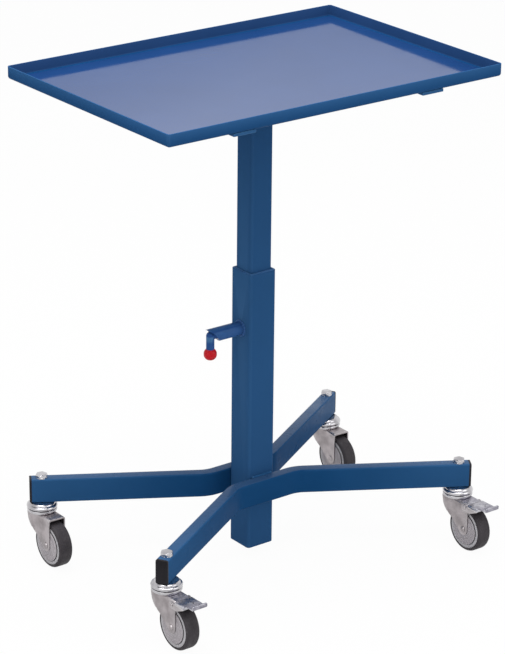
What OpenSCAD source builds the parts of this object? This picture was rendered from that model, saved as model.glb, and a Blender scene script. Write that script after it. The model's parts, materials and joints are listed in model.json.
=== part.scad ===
// Material support stand: a shallow steel tray on a telescoping square post,
// carried by two bent legs on four swivel casters, the front two with brakes.
// Millimetres, +Z up, floor at Z = 0. X runs along the tray, -Y is the front.

/* [Tray] */
// Length of the tray over its rims, along X
tray_len = 620; // [480:5:800]
// Depth of the tray over its rims, along Y
tray_depth = 420; // [320:5:500]
// Height of the rim's upper edge above the floor
tray_top = 810; // [760:1:840]
// Height of the rim over the tray's underside
rim_h = 20; // [12:1:40]
// Thickness of the tray's sheet
sheet_t = 2; // [1:0.5:3]
// Outer radius of the fold between floor and rim
fold_r = 5; // [4:0.5:10]
// Outer radius of the tray's upright corners
corner_r = 4; // [4:0.5:12]

/* [Tray support] */
// Distance of each cross rail's middle from the post, along X
rail_x = 175; // [120:1:210]
// Width of a cross rail
rail_w = 40; // [25:1:60]
// Thickness of a cross rail
rail_t = 5; // [4.8:0.2:8]
// Distance from the tray's front and back to a rail's ends
rail_inset = 2; // [1:1:60]
// Width of the support channel
beam_w = 60; // [54:1:90]
// Height of the support channel
beam_h = 30; // [20:1:45]
// Wall of the support channel
beam_t = 3; // [2:0.5:5]
// Outer fold radius of the support channel
beam_r = 4; // [3:0.5:8]
// Length of the head plate, along X
plate_len = 112; // [100:1:160]
// Thickness of the head plate
plate_t = 6; // [4:0.5:10]
// Distance of the head bolts from the post, along X
head_bolt_x = 40; // [36:1:46]
// Distance of the head bolts from the post, along Y
head_bolt_y = 15; // [10:1:17]
// Diameter of the head bolts
head_bolt_d = 8; // [6:1:8]
// Width across flats of their heads and nuts
head_af = 13; // [10:1:13]
// Height of their heads
head_hex_h = 5.3; // [4:0.1:6]
// Height of their thin nuts, which fit under the tray
head_nut_h = 4; // [3:0.5:4]

/* [Post and mast] */
// Outer width of the fixed square post
post_w = 50; // [48:1:60]
// Wall of the post
post_wall = 3; // [2:0.5:4]
// Corner radius of the post
post_r = 5; // [4:0.5:8]
// Height of the post's upper end
post_top = 483; // [460:1:500]
// Height of the post's lower end
post_bottom = 17; // [8:1:40]
// Outer width of the sliding square mast
mast_w = 40; // [36:1:41]
// Wall of the mast
mast_wall = 2.5; // [2:0.5:4]
// Corner radius of the mast
mast_r = 4; // [4:0.5:8]
// Length of the plastic guide bush in the post's mouth
bush_h = 50; // [20:1:60]
// Depth of the guide bush below the post's mouth
bush_depth = 0.5; // [0:0.5:8]
// Height of the plastic glide under the mast
glide_h = 12; // [6:1:20]
// Length of the glide's stem inside the mast
stem_h = 14; // [8:1:20]
// Thickness of the plug's flange under the post
plug_flange = 3; // [2:0.5:6]
// Length of the plug inside the post
plug_h = 13; // [8:1:20]
// Leg length of the weld beads
weld = 4; // [2:0.5:4]

/* [Height lock] */
// Height of the locking pin's axis
lock_z = 389; // [370:1:400]
// Diameter of the locking pin and its bent handle
pin_d = 12; // [8:1:13]
// Outer diameter of the guide tube
lock_tube_d = 22; // [21.5:0.5:26]
// Reach of the guide tube's slanted end, from the post's face, at its middle
lock_tube_len = 53; // [48:1:70]
// How far the slanted end leans out from its middle to its top
slant = 10; // [8:0.5:13]
// Diameter of the spring chamber
chamber_d = 16.4; // [14:0.2:18]
// Depth of the spring chamber from the post's face
chamber_len = 35; // [34:1:40]
// Centreline radius of the handle's bend
handle_bend = 7.5; // [7:0.5:12]
// Distance from the pin's axis to the middle of the knob
handle_drop = 30; // [27:1:60]
// Diameter of the knob
knob_d = 21; // [16:0.5:28]
// Height of the knob
knob_h = 20; // [14:0.5:24]
// Spacing of the index holes
index_pitch = 30; // [20:1:40]
// Index holes above the pin, which let the tray down
holes_above = 2; // [1:1:2]
// Index holes below the pin, which let the tray up
holes_below = 8; // [3:1:8]
// Diameter of the index holes
hole_d = 13.2; // [13:0.1:15]
// Distance from the lowest index hole to the mast's lower end
hole_edge = 25; // [20:1:40]
// Distance from the post's face to the spring's collar
collar_gap = 8; // [6:1:9]
// Thickness of the spring's collar
collar_t = 3; // [2:0.5:4]
// Thickness of the pin's flange, which pushes the collar
pin_flange_t = 2.7; // [2:0.1:3]
// Turns of the pin's spring
spring_turns = 5; // [3:1:5]
// Wire diameter of the pin's spring
spring_wire = 1; // [0.8:0.1:1]

/* [Legs] */
// Height of a leg tube's section
leg_h = 40; // [30:1:50]
// Width of a leg tube's section
leg_w = 20; // [18:1:30]
// Wall of a leg tube
leg_wall = 2; // [1.5:0.5:3]
// Corner radius of a leg tube
leg_r = 3; // [3:0.5:5]
// Height of the legs' upper face
leg_top = 140; // [136:1:160]
// Angle by which each leg's ends turn away from X
leg_angle = 31; // [20:1:40]
// Centreline radius of the leg's bends
leg_bend = 50; // [30:1:70]
// Length of tube past the caster's axis
leg_tail = 16; // [13:0.5:30]
// Thickness of an end cap's flange
cap_t = 3.5; // [1:0.5:6]
// Depth of an end cap's plug
cap_plug = 7; // [4:0.5:7]
// Distance of the caster axes from the post, along X
caster_x = 287.6; // [240:0.2:330]
// Distance of the caster axes from the post, along Y
caster_y = 171.5; // [150:0.5:200]

/* [Casters] */
// Diameter of the wheel
wheel_d = 75; // [70:1:76]
// Width of the tread
wheel_w = 24; // [20:1:26]
// Diameter of the wheel core under the tread
core_d = 63; // [58:1:65]
// Rounding of the tread's shoulders
shoulder_r = 4; // [2:0.5:5]
// Distance of the axle behind the swivel axis
trail = 33; // [30:0.5:35]
// Diameter of the axle
axle_d = 8; // [6:0.5:10]
// Diameter of the upper swivel ring
ring_d = 49; // [45:0.5:54]
// Clear width between the fork's cheeks
fork_gap = 26.5; // [26:0.5:30]
// Thickness of the fork's sheet
fork_t = 2.25; // [1.5:0.25:3]
// Height of the fork's crown above the floor
crown_z = 84; // [82:0.5:86]
// Distance of the fork's front edge from the swivel axis
fork_front = 42.5; // [42:0.5:46]
// Radius of the fork's rounded lower ends
fork_end_r = 9.5; // [8:0.5:11]
// Diameter of the thread guard discs
guard_d = 52; // [40:1:54]
// Diameter of the caster bolt
bolt_d = 10; // [8:1:10]
// Width across flats of the caster bolt's head and nut
bolt_af = 17; // [15:1:17]
// Height of the caster bolt's head
bolt_hex_h = 5.6; // [5:0.1:8]
// Height of the caster bolt's nut
nut_h = 8; // [5:0.5:8]
// Thickness of the washer under the caster bolt's head
washer_t = 1; // [1:0.5:3]
// Diameter of that washer
washer_d = 18; // [17:0.5:22]
// Outer radius of the swivel head's hollow rivet
sleeve_r = 8; // [7:0.5:9]
// Diameter of the swivel head's dome, under the leg
dome_d = 42; // [32:1:43]
// Height of the swivel head's upper ring above the floor
upper_ring_top = 96; // [95:0.5:97]
// Height of the lower ring, which turns with the fork
lower_ring_h = 5.5; // [4:0.5:6]
// Radius of the row of balls
ball_row_r = 18; // [15:0.5:19]
// Number of balls in each swivel head
ball_count = 14; // [8:1:18]
// Diameter of a swivel ball
ball_d = 4.8; // [3:0.2:5]

/* [Brake pedals] */
// Reach of the pedal's lip from the swivel axis
pedal_reach = 82; // [79:1:96]
// Width of the pedal's lip
lip_w = 27; // [20:1:28]
// Height of the pedal's lip
lip_h = 6.5; // [5:0.5:12]
// Thickness of the pedal's sheet
pedal_t = 1.5; // [1:0.25:2]
// Height of the pedal's pivot above the floor
pivot_z = 77; // [76.5:0.25:77.5]
// Distance of the pedal's pivot from the swivel axis
pivot_y = 35.5; // [35:0.25:36]
// Radius of the pedal's rivets
rivet_r = 2.5; // [2:0.25:3]
// Height of the brake pad's lower face above the floor
pad_z = 74.9; // [74.9:0.1:78]

/* [Fits] */
// Radial clearance of a shaft turning or sliding in a bore
run_gap = 0.05; // [0.03:0.01:0.08]
// Clearance of the mast in its guides
glide_gap = 0.15; // [0.1:0.05:0.25]
// Clearance between faces that pass each other
pass_gap = 0.3; // [0.25:0.05:0.5]
// Radial clearance of a bolt in its hole
bolt_gap = 0.25; // [0.1:0.05:0.5]

/* [Hidden] */
$fn = 64;
cut = 1;
blue = [0.13, 0.28, 0.45];
weld_blue = [0.16, 0.31, 0.48];
zinc = [0.72, 0.72, 0.74];
fork_zinc = [0.6, 0.58, 0.58];
black = [0.15, 0.15, 0.17];
red = [0.82, 0.09, 0.16];
tread_grey = [0.26, 0.24, 0.27];
core_grey = [0.55, 0.55, 0.57];
natural = [0.85, 0.85, 0.82];

// Levels of the tray and its support
tray_z = tray_top - rim_h;
rail_z = tray_z - rail_t;
beam_z = rail_z - beam_h;
plate_z = rail_z - beam_t - plate_t;
beam_len = 2 * rail_x + rail_w;
plate_w = beam_w - 2 * beam_t - 2;

// The post is set off from the frame's middle, which is the middle of the whole stand
front_reach = caster_y + pedal_reach;
back_reach = max(tray_depth / 2, caster_y + ring_d / 2);
post_y = (front_reach - back_reach) / 2;

// Mast and its index holes
mast_bottom = lock_z - holes_below * index_pitch - hole_edge;
post_bore = post_w - 2 * post_wall;
mast_bore = mast_w - 2 * mast_wall;

// Lock: X runs outward from the post's face
pin_r = pin_d / 2;
post_face = post_w / 2;
pin_tip = mast_w / 2 + 0.5;
slant_x = post_face + lock_tube_len;
bend_x = slant_x - slant / 4;
handle_x = bend_x + handle_bend;
collar_x = post_face + collar_gap;
spring_r = (pin_r + chamber_d / 2) / 2;
spring_x0 = collar_x + collar_t;
spring_x1 = post_face + chamber_len - pass_gap;

// Legs
leg_line = post_face + leg_w / 2;
leg_z = leg_top - leg_h / 2;
leg_rise = caster_y - leg_line - leg_bend * (1 - cos(leg_angle));
leg_run = leg_rise / sin(leg_angle);
leg_bend_x = caster_x - leg_bend * sin(leg_angle) - leg_run * cos(leg_angle);
cap_inset = leg_wall + glide_gap;
bend_swell = 0.05;
bend_lap = 1;

// Casters, from the floor up
axle_z = wheel_d / 2;
fork_half = fork_gap / 2 + fork_t;
cheek_back = [[19, crown_z], [17.5, crown_z - 4], [15, 68.5], [6, 57], [-6, 48.5]];
cheek_foot = [-6 + trail, 48.5 - axle_z];
cheek_foot_angle = atan2(cheek_foot[1], cheek_foot[0]) - acos(fork_end_r / norm(cheek_foot));
crown_t = 3;
lower_ring_top = crown_z + lower_ring_h;
ring_split = 1;
upper_ring_z = lower_ring_top + ring_split;
ball_z = lower_ring_top + ring_split / 2;
head_top = leg_top - leg_h;
sleeve_flange_t = 3;
sleeve_flange_z = crown_z - crown_t - pass_gap - sleeve_flange_t;
bolt_end_z = sleeve_flange_z - nut_h - 1.5;
sides = [[-1, -1], [1, -1], [-1, 1], [1, 1]];

// Pedal: a point on the underside of its plate at distance y from the swivel axis
function plate_under(y) = crown_z + 0.2 + (y - 44) * 0.01;
plate_y0 = 44;
lip_t = 2.5;
lip_drop = 1;
lip_shift = 2.5;
lip_z = plate_under(pedal_reach) - lip_drop + lip_h / 2;
plate_y1 = pedal_reach - lip_t / 3;
shoulder_y = 66;
cheek_end_h = 3;
ear_r = 6;
pad_y0 = 50;
pad_y1 = 58;

// Moves a piece from the post's axis to its place in the frame
module placed() {
    translate([0, post_y, 0])
        children();
}

// A flat rounded rectangle about the origin
module rounded_rect(w, h, r) {
    square([w - 2 * r, h], center = true);
    square([w, h - 2 * r], center = true);
    for (sx = [-1, 1], sy = [-1, 1])
        translate([sx * (w / 2 - r), sy * (h / 2 - r)])
            circle(r);
}

// An upright square tube between two heights
module square_tube(w, wall, r, z0, z1) {
    inner_r = max(r - wall, 1);
    translate([0, 0, z0])
        difference() {
            linear_extrude(z1 - z0)
                rounded_rect(w, w, r);
            translate([0, 0, -cut])
                linear_extrude(z1 - z0 + 2 * cut)
                    rounded_rect(w - 2 * wall, w - 2 * wall, inner_r);
        }
}

// Six-sided prism with a bore, standing on Z = 0
module hex_prism(af, h, bore) {
    difference() {
        cylinder(d = af / cos(30), h = h, $fn = 6);
        translate([0, 0, -cut])
            cylinder(d = bore, h = h + 2 * cut);
    }
}

// A three-sided weld run along +X, its right angle on the X axis
module weld_run(length, size) {
    translate([-length / 2, 0, 0])
        rotate([90, 0, 90])
            linear_extrude(length)
                polygon([[0, 0], [size, 0], [0, size]]);
}

// A flat U with rounded lower corners, as wide as w and as high as h
module rounded_below(w, h, r) {
    translate([-w / 2, r])
        square([w, h - r]);
    translate([-w / 2 + r, 0])
        square([w - 2 * r, h]);
    for (s = [-1, 1])
        translate([s * (w / 2 - r), r])
            circle(r);
}

// A block whose lower edges and upright corners are rounded
module pan_block(w, d, h, edge_r, upright_r) {
    intersection() {
        translate([-w / 2, 0, 0])
            rotate([90, 0, 90])
                linear_extrude(w)
                    rounded_below(d, h, edge_r);
        translate([0, d / 2, 0])
            rotate([90, 0, 0])
                linear_extrude(d)
                    rounded_below(w, h, edge_r);
        linear_extrude(h)
            rounded_rect(w, d, upright_r);
    }
}

module tray() {
    color(blue)
        placed()
            translate([0, 0, tray_z])
                difference() {
                    pan_block(tray_len, tray_depth, rim_h, fold_r, corner_r);
                    translate([0, 0, sheet_t])
                        pan_block(tray_len - 2 * sheet_t, tray_depth - 2 * sheet_t, rim_h,
                            fold_r - sheet_t, corner_r - sheet_t);
                }
}

module rail(side) {
    color(blue)
        placed()
            translate([side * rail_x - rail_w / 2, -tray_depth / 2 + rail_inset, rail_z])
                cube([rail_w, tray_depth - 2 * rail_inset, rail_t]);
}

module head_bolt_holes(d) {
    for (sx = [-1, 1], sy = [-1, 1])
        translate([sx * head_bolt_x, sy * head_bolt_y, plate_z - cut])
            cylinder(d = d, h = plate_t + beam_t + 2 * cut);
}

module support_beam() {
    inner_r = max(beam_r - beam_t, 1);
    color(blue)
        placed()
            difference() {
                translate([-beam_len / 2, 0, rail_z])
                    rotate([90, 0, 90])
                        linear_extrude(beam_len)
                            mirror([0, 1])
                                difference() {
                                    rounded_below(beam_w, beam_h, beam_r);
                                    translate([0, beam_t])
                                        rounded_below(beam_w - 2 * beam_t, beam_h, inner_r);
                                }
                head_bolt_holes(head_bolt_d + 2 * bolt_gap);
            }
}

module head_plate() {
    color(blue)
        placed()
            difference() {
                translate([0, 0, plate_z])
                    linear_extrude(plate_t)
                        rounded_rect(plate_len, plate_w, 3);
                head_bolt_holes(head_bolt_d + 2 * bolt_gap);
            }
}

module head_fasteners() {
    bolt_end = rail_z + head_nut_h + 0.5;
    color(zinc)
        placed()
            for (sx = [-1, 1], sy = [-1, 1])
                translate([sx * head_bolt_x, sy * head_bolt_y, 0]) {
                    translate([0, 0, plate_z])
                        cylinder(d = head_bolt_d, h = bolt_end - plate_z);
                    translate([0, 0, plate_z - head_hex_h])
                        cylinder(d = head_af / cos(30), h = head_hex_h, $fn = 6);
                    translate([0, 0, rail_z])
                        hex_prism(head_af, head_nut_h, head_bolt_d + 2 * run_gap);
                }
}

module mast() {
    color(blue)
        placed()
            difference() {
                square_tube(mast_w, mast_wall, mast_r, mast_bottom, plate_z);
                for (k = [-holes_below:holes_above])
                    translate([-mast_w / 2 - cut, 0, lock_z + k * index_pitch])
                        rotate([0, 90, 0])
                            cylinder(d = hole_d, h = mast_wall + 2 * cut);
            }
}

module mast_glide() {
    color(natural)
        placed()
            difference() {
                union() {
                    translate([0, 0, mast_bottom - glide_h])
                        linear_extrude(glide_h)
                            rounded_rect(post_bore - 2 * glide_gap, post_bore - 2 * glide_gap, 2);
                    translate([0, 0, mast_bottom])
                        linear_extrude(stem_h)
                            rounded_rect(mast_bore - 2 * glide_gap, mast_bore - 2 * glide_gap, 1.5);
                }
                translate([0, 0, mast_bottom - glide_h + 3])
                    linear_extrude(glide_h + stem_h)
                        rounded_rect(mast_bore - 8, mast_bore - 8, 3);
            }
}

module mast_welds() {
    color(weld_blue)
        placed()
            for (turn = [0:90:270])
                rotate([0, 0, turn])
                    translate([0, mast_w / 2, plate_z])
                        mirror([0, 0, 1])
                            weld_run(mast_w - 2 * mast_r, weld);
}

// Short runs along both edges of each rail, under the tray
module tray_welds() {
    run = 40;
    color(weld_blue)
        placed()
            for (side = [-1, 1], edge = [-1, 1], place = [-1, 1])
                translate([side * rail_x + edge * rail_w / 2, place * tray_depth / 4, tray_z])
                    rotate([0, 0, -90 * edge])
                        mirror([0, 0, 1])
                            weld_run(run, weld);
}

module post() {
    color(blue)
        placed()
            difference() {
                square_tube(post_w, post_wall, post_r, post_bottom, post_top);
                translate([-post_face - cut, 0, lock_z])
                    rotate([0, 90, 0])
                        cylinder(r = pin_r + run_gap, h = post_wall + 2 * cut);
            }
}

module post_plug() {
    color(black)
        placed() {
            translate([0, 0, post_bottom - plug_flange])
                linear_extrude(plug_flange)
                    rounded_rect(post_w, post_w, post_r);
            translate([0, 0, post_bottom])
                linear_extrude(plug_h)
                    rounded_rect(post_bore - 2 * glide_gap, post_bore - 2 * glide_gap, 2);
        }
}

module guide_bush() {
    bush_top = post_top - bush_depth;
    color(natural)
        placed()
            difference() {
                translate([0, 0, bush_top - bush_h])
                    linear_extrude(bush_h)
                        rounded_rect(post_bore, post_bore, 2);
                translate([0, 0, bush_top - bush_h - cut])
                    linear_extrude(bush_h + 2 * cut)
                        rounded_rect(mast_w + 2 * glide_gap, mast_w + 2 * glide_gap, mast_r);
            }
}

// Places its children at the tube's end frame: origin on the caster's axis, +X along the tube
module at_leg_end(side) {
    mirror([side[0] < 0 ? 1 : 0, 0, 0])
        mirror([0, side[1] < 0 ? 1 : 0, 0])
            translate([caster_x, caster_y, leg_z])
                rotate([0, 0, leg_angle])
                    children();
}

// Section of a leg's tube, solid or with its bore, its walls thicker by swell on each face
module leg_section(hollow, swell) {
    bore_gap = 2 * leg_wall + 2 * swell;
    difference() {
        rounded_rect(leg_w + 2 * swell, leg_h + 2 * swell, leg_r);
        if (hollow)
            rounded_rect(leg_w - bore_gap, leg_h - bore_gap, max(leg_r - leg_wall, 1));
    }
}

// The bent bar that is a leg: straight middle, two bends and two arms, which lap into the bends
module leg_bar(hollow) {
    along_x = [90, 0, 90];
    half_middle = leg_bend_x + bend_lap;
    translate([-half_middle, leg_line, leg_z])
        rotate(along_x)
            linear_extrude(2 * half_middle)
                leg_section(hollow, 0);
    for (side = [0, 1])
        mirror([side, 0, 0]) {
            translate([leg_bend_x, leg_line + leg_bend, leg_z])
                rotate([0, 0, -90])
                    rotate_extrude(angle = leg_angle)
                        translate([leg_bend, 0])
                            leg_section(hollow, bend_swell);
            at_leg_end([1, 1])
                translate([-leg_run - bend_lap, 0, 0])
                    rotate(along_x)
                        linear_extrude(leg_run + bend_lap + leg_tail)
                            leg_section(hollow, 0);
        }
}

module leg(side) {
    color(blue)
        placed()
            mirror([0, side < 0 ? 1 : 0, 0])
                difference() {
                    leg_bar(true);
                    for (sx = [-1, 1])
                        translate([sx * caster_x, caster_y, leg_top - leg_h - cut])
                            cylinder(d = bolt_d + 2 * bolt_gap, h = leg_h + 2 * cut);
                }
}

module leg_cap(side) {
    color(black)
        placed()
            at_leg_end(side) {
                translate([leg_tail, 0, 0])
                    rotate([90, 0, 90])
                        linear_extrude(cap_t)
                            leg_section(false, 0);
                translate([leg_tail - cap_plug, 0, 0])
                    rotate([90, 0, 90])
                        linear_extrude(cap_plug)
                            rounded_rect(leg_w - 2 * cap_inset, leg_h - 2 * cap_inset, 1);
            }
}

module frame_welds() {
    color(weld_blue)
        placed() {
            for (side = [-1, 1], level = [0, 1])
                mirror([0, side < 0 ? 1 : 0, 0])
                    difference() {
                        translate([0, post_face, level == 1 ? leg_top : leg_top - leg_h])
                            mirror([0, 0, level == 1 ? 0 : 1])
                                translate([0, 0, -leg_r])
                                    weld_run(post_w - 2 * post_r, weld + leg_r);
                        leg_bar(false);
                    }
            translate([-post_face, 0, lock_z])
                rotate([0, -90, 0])
                    rotate_extrude()
                        translate([lock_tube_d / 2, 0])
                            polygon([[0, 0], [weld, 0], [0, weld]]);
        }
}

// Lock pieces are drawn along +Z and then laid along -X on the pin's axis
module lock_axis() {
    translate([0, 0, lock_z])
        rotate([0, -90, 0])
            children();
}

module lock_tube() {
    far = slant_x + slant + cut;
    color(blue)
        placed()
            difference() {
                lock_axis()
                    translate([0, 0, post_face])
                        cylinder(d = lock_tube_d, h = slant_x + slant - post_face);
                lock_axis()
                    cylinder(d = chamber_d, h = post_face + chamber_len);
                lock_axis()
                    cylinder(r = pin_r + run_gap, h = far);
                translate([0, post_w, lock_z])
                    rotate([90, 0, 0])
                        linear_extrude(2 * post_w)
                            polygon([
                                [-slant_x + 3 * slant, -lock_tube_d * 3 / 2],
                                [-far - slant, -lock_tube_d * 3 / 2],
                                [-far - slant, lock_tube_d],
                                [-slant_x - 2 * slant, lock_tube_d]
                            ]);
            }
}

module lock_collar() {
    color(zinc)
        placed()
            lock_axis()
                translate([0, 0, collar_x])
                    difference() {
                        cylinder(r = chamber_d / 2 - run_gap, h = collar_t);
                        translate([0, 0, -cut])
                            cylinder(r = pin_r + run_gap, h = collar_t + 2 * cut);
                    }
}

// Pin, flange and bent bar in one piece
module lock_handle() {
    bar_end = handle_drop + 4;
    color(blue)
        placed() {
            lock_axis() {
                translate([0, 0, pin_tip])
                    cylinder(r = pin_r, h = bend_x - pin_tip);
                translate([0, 0, collar_x - pass_gap - pin_flange_t])
                    cylinder(r = pin_r + 1.5, h = pin_flange_t);
            }
            translate([-bend_x, 0, lock_z - handle_bend])
                rotate([90, 0, 0])
                    rotate([0, 0, 90])
                        rotate_extrude(angle = 90)
                            translate([handle_bend, 0])
                                circle(pin_r);
            translate([-handle_x, 0, lock_z - bar_end])
                cylinder(r = pin_r, h = bar_end - handle_bend);
        }
}

module lock_knob() {
    edge = 5;
    half = knob_h / 2;
    color(red)
        placed()
            translate([-handle_x, 0, lock_z - handle_drop])
                difference() {
                    rotate_extrude()
                        intersection() {
                            rounded_rect(knob_d, knob_h, edge);
                            translate([0, -half])
                                square([knob_d, knob_h]);
                        }
                    translate([0, 0, -4])
                        cylinder(r = pin_r, h = half + 4 + cut);
                }
}

// Coil of the pin's spring: rings of points swept along a helix about the pin's axis
ring_points = 8;
turn_steps = 16;
coil_steps = spring_turns * turn_steps;
wire_r = spring_wire / 2;

function coil_x(i) = spring_x0 + wire_r + (spring_x1 - spring_x0 - 2 * wire_r) * i / coil_steps;

function coil_point(i, k) =
    let (turn = 360 * i / turn_steps, around = 360 * k / ring_points)
    let (r = spring_r + wire_r * cos(around))
    [-coil_x(i) - wire_r * sin(around), r * cos(turn), r * sin(turn)];

function coil_index(i, k) = i * ring_points + k % ring_points;

coil_skin = [
    for (i = [0:coil_steps - 1], k = [0:ring_points - 1], half = [0, 1])
        half == 0
            ? [coil_index(i, k), coil_index(i + 1, k), coil_index(i, k + 1)]
            : [coil_index(i, k + 1), coil_index(i + 1, k), coil_index(i + 1, k + 1)]
];
coil_ends = [
    [for (k = [0:ring_points - 1]) coil_index(0, k)],
    [for (k = [ring_points - 1:-1:0]) coil_index(coil_steps, k)]
];

module lock_spring() {
    points = [for (i = [0:coil_steps], k = [0:ring_points - 1]) coil_point(i, k)];
    color(zinc)
        placed()
            translate([0, 0, lock_z])
                polyhedron(points, concat(coil_skin, coil_ends));
}

// Places its children with their origin under one caster's swivel axis
module at_caster(side) {
    placed()
        translate([side[0] * caster_x, side[1] * caster_y, 0])
            children();
}

// Places its children with +Z along the axle, origin at the wheel's middle
module at_axle() {
    translate([0, -trail, axle_z])
        rotate([0, 90, 0])
            children();
}

module caster_bolts() {
    color(zinc)
        for (side = sides)
            at_caster(side) {
                translate([0, 0, bolt_end_z])
                    cylinder(d = bolt_d, h = leg_top + washer_t - bolt_end_z);
                translate([0, 0, leg_top + washer_t])
                    cylinder(d = bolt_af / cos(30), h = bolt_hex_h, $fn = 6);
            }
}

module caster_washers() {
    color(zinc)
        for (side = sides)
            at_caster(side)
                translate([0, 0, leg_top])
                    difference() {
                        cylinder(d = washer_d, h = washer_t);
                        translate([0, 0, -cut])
                            cylinder(d = bolt_d + 2 * bolt_gap, h = washer_t + 2 * cut);
                    }
}

module caster_nuts() {
    color(zinc)
        for (side = sides)
            at_caster(side)
                translate([0, 0, sleeve_flange_z - nut_h])
                    hex_prism(bolt_af, nut_h, bolt_d + 2 * run_gap);
}

module ball_track() {
    rotate_extrude()
        translate([ball_row_r, ball_z])
            circle(d = ball_d + 2 * run_gap);
}

module caster_balls() {
    color(zinc)
        for (side = sides)
            at_caster(side)
                for (k = [0:ball_count - 1])
                    rotate([0, 0, 360 * k / ball_count])
                        translate([ball_row_r, 0, ball_z])
                            sphere(d = ball_d);
}

// Fixed half of the swivel head: neck, upper ring and the hollow rivet through the fork
module caster_head(side) {
    edge = 2;
    half_h = (upper_ring_top - upper_ring_z) / 2;
    color(zinc)
        at_caster(side)
            difference() {
                union() {
                    translate([0, 0, upper_ring_z + half_h])
                        rotate_extrude()
                            intersection() {
                                rounded_rect(ring_d, 2 * half_h, edge);
                                translate([0, -half_h])
                                    square([ring_d, 2 * half_h]);
                            }
                    translate([0, 0, upper_ring_top - 1])
                        rotate_extrude()
                            dome_section(dome_d / 2, head_top - upper_ring_top + 1, 2.5);
                    translate([0, 0, sleeve_flange_z])
                        cylinder(r = sleeve_r, h = upper_ring_top - sleeve_flange_z);
                    translate([0, 0, sleeve_flange_z])
                        cylinder(r = sleeve_r + 3, h = sleeve_flange_t);
                }
                translate([0, 0, sleeve_flange_z - cut])
                    cylinder(d = bolt_d + 2 * bolt_gap, h = head_top - sleeve_flange_z + 2 * cut);
                ball_track();
            }
}

// Section of a disc whose top edge is rounded
module dome_section(w, h, r) {
    square([w - r, h]);
    square([w, h - r]);
    translate([w - r, h - r])
        circle(r);
}

// Side view of the fork's cheeks, Y to the right
module cheek_outline() {
    foot = [fork_end_r * cos(cheek_foot_angle), fork_end_r * sin(cheek_foot_angle)];
    polygon(concat(
        [[-fork_front, axle_z], [-fork_front, crown_z]],
        cheek_back,
        [[foot[0] - trail, foot[1] + axle_z], [-trail, axle_z]]
    ));
    translate([-trail, axle_z])
        circle(fork_end_r);
}

// Front view of the folded fork sheet
module fork_profile(w, top, r) {
    translate([0, top])
        mirror([0, 1])
            rounded_below(w, top, r);
}

module fork(side, braked) {
    ring_inner = sleeve_r + 3;
    color(fork_zinc)
        at_caster(side)
            difference() {
                union() {
                    intersection() {
                        translate([0, fork_front, 0])
                            rotate([90, 0, 0])
                                linear_extrude(2 * fork_front)
                                    difference() {
                                        fork_profile(2 * fork_half, crown_z, 4);
                                        fork_profile(fork_gap, crown_z - crown_t, 2);
                                    }
                        translate([-fork_half, 0, 0])
                            rotate([90, 0, 90])
                                linear_extrude(2 * fork_half)
                                    cheek_outline();
                    }
                    translate([0, 0, crown_z - 2])
                        cylinder(d = ring_d - 6, h = 2);
                    translate([0, 0, crown_z])
                        rotate_extrude()
                            translate([ring_inner, 0])
                                ring_section(ring_d / 2 - 0.5 - ring_inner, lower_ring_h, 1.5);
                }
                translate([0, 0, crown_z - crown_t - cut])
                    cylinder(r = sleeve_r + run_gap, h = crown_t + 2 * cut);
                translate([-fork_half - cut, 0, 0])
                    at_axle()
                        cylinder(d = axle_d + 2 * run_gap, h = 2 * fork_half + 2 * cut);
                ball_track();
                if (braked)
                    translate([-fork_half - cut, -pivot_y, pivot_z])
                        rotate([0, 90, 0])
                            cylinder(r = rivet_r, h = 2 * fork_half + 2 * cut);
            }
}

// Ring section with its outer corners rounded
module ring_section(w, h, r) {
    square([w - r, h]);
    translate([0, r])
        square([w, h - 2 * r]);
    translate([w - r, r])
        circle(r);
    translate([w - r, h - r])
        circle(r);
}

module axle(side) {
    head_t = 3;
    nut_t = 6.5;
    color(zinc)
        at_caster(side)
            at_axle() {
                translate([0, 0, -fork_half])
                    cylinder(d = axle_d, h = 2 * fork_half + nut_t + 1);
                translate([0, 0, -fork_half - head_t])
                    cylinder(r1 = axle_d / 2 - 0.5, r2 = axle_d / 2 + 1, h = head_t);
                translate([0, 0, fork_half])
                    hex_prism(head_af, nut_t, axle_d + 2 * run_gap);
            }
}

module guards(side) {
    inner = wheel_w / 2 + 0.35;
    outer = fork_gap / 2;
    color(core_grey)
        at_caster(side)
            at_axle()
                for (face = [0, 1])
                    mirror([0, 0, face])
                        rotate_extrude()
                            polygon([
                                [axle_d / 2 + run_gap, inner], [guard_d / 2, inner],
                                [guard_d / 2, inner + 0.4], [guard_d / 2 - 3, outer],
                                [axle_d / 2 + run_gap, outer]
                            ]);
}

module core(side) {
    hub_half = wheel_w / 2 - 0.1;
    rim_half = wheel_w / 2 - 0.8;
    rim_r = core_d / 2 - 4.5;
    color(core_grey)
        at_caster(side)
            at_axle()
                rotate_extrude()
                    polygon([
                        [axle_d / 2 + run_gap, -hub_half], [10, -hub_half], [11, -3], [rim_r - 1, -3],
                        [rim_r, -rim_half], [core_d / 2, -rim_half], [core_d / 2, rim_half],
                        [rim_r, rim_half], [rim_r - 1, 3], [11, 3], [10, hub_half],
                        [axle_d / 2 + run_gap, hub_half]
                    ]);
}

module tyre(side) {
    tread = wheel_d / 2 - core_d / 2;
    color(tread_grey)
        at_caster(side)
            at_axle()
                rotate_extrude()
                    translate([core_d / 2, 0])
                        for (face = [0, 1])
                            mirror([0, face])
                                tread_half(tread, wheel_w / 2, shoulder_r);
}

// Half of the tread's section: its outer corner is rounded
module tread_half(w, h, r) {
    square([w, h - r]);
    square([w - r, h]);
    intersection() {
        square([w, h]);
        translate([w - r, h - r])
            circle(r);
    }
}

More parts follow.
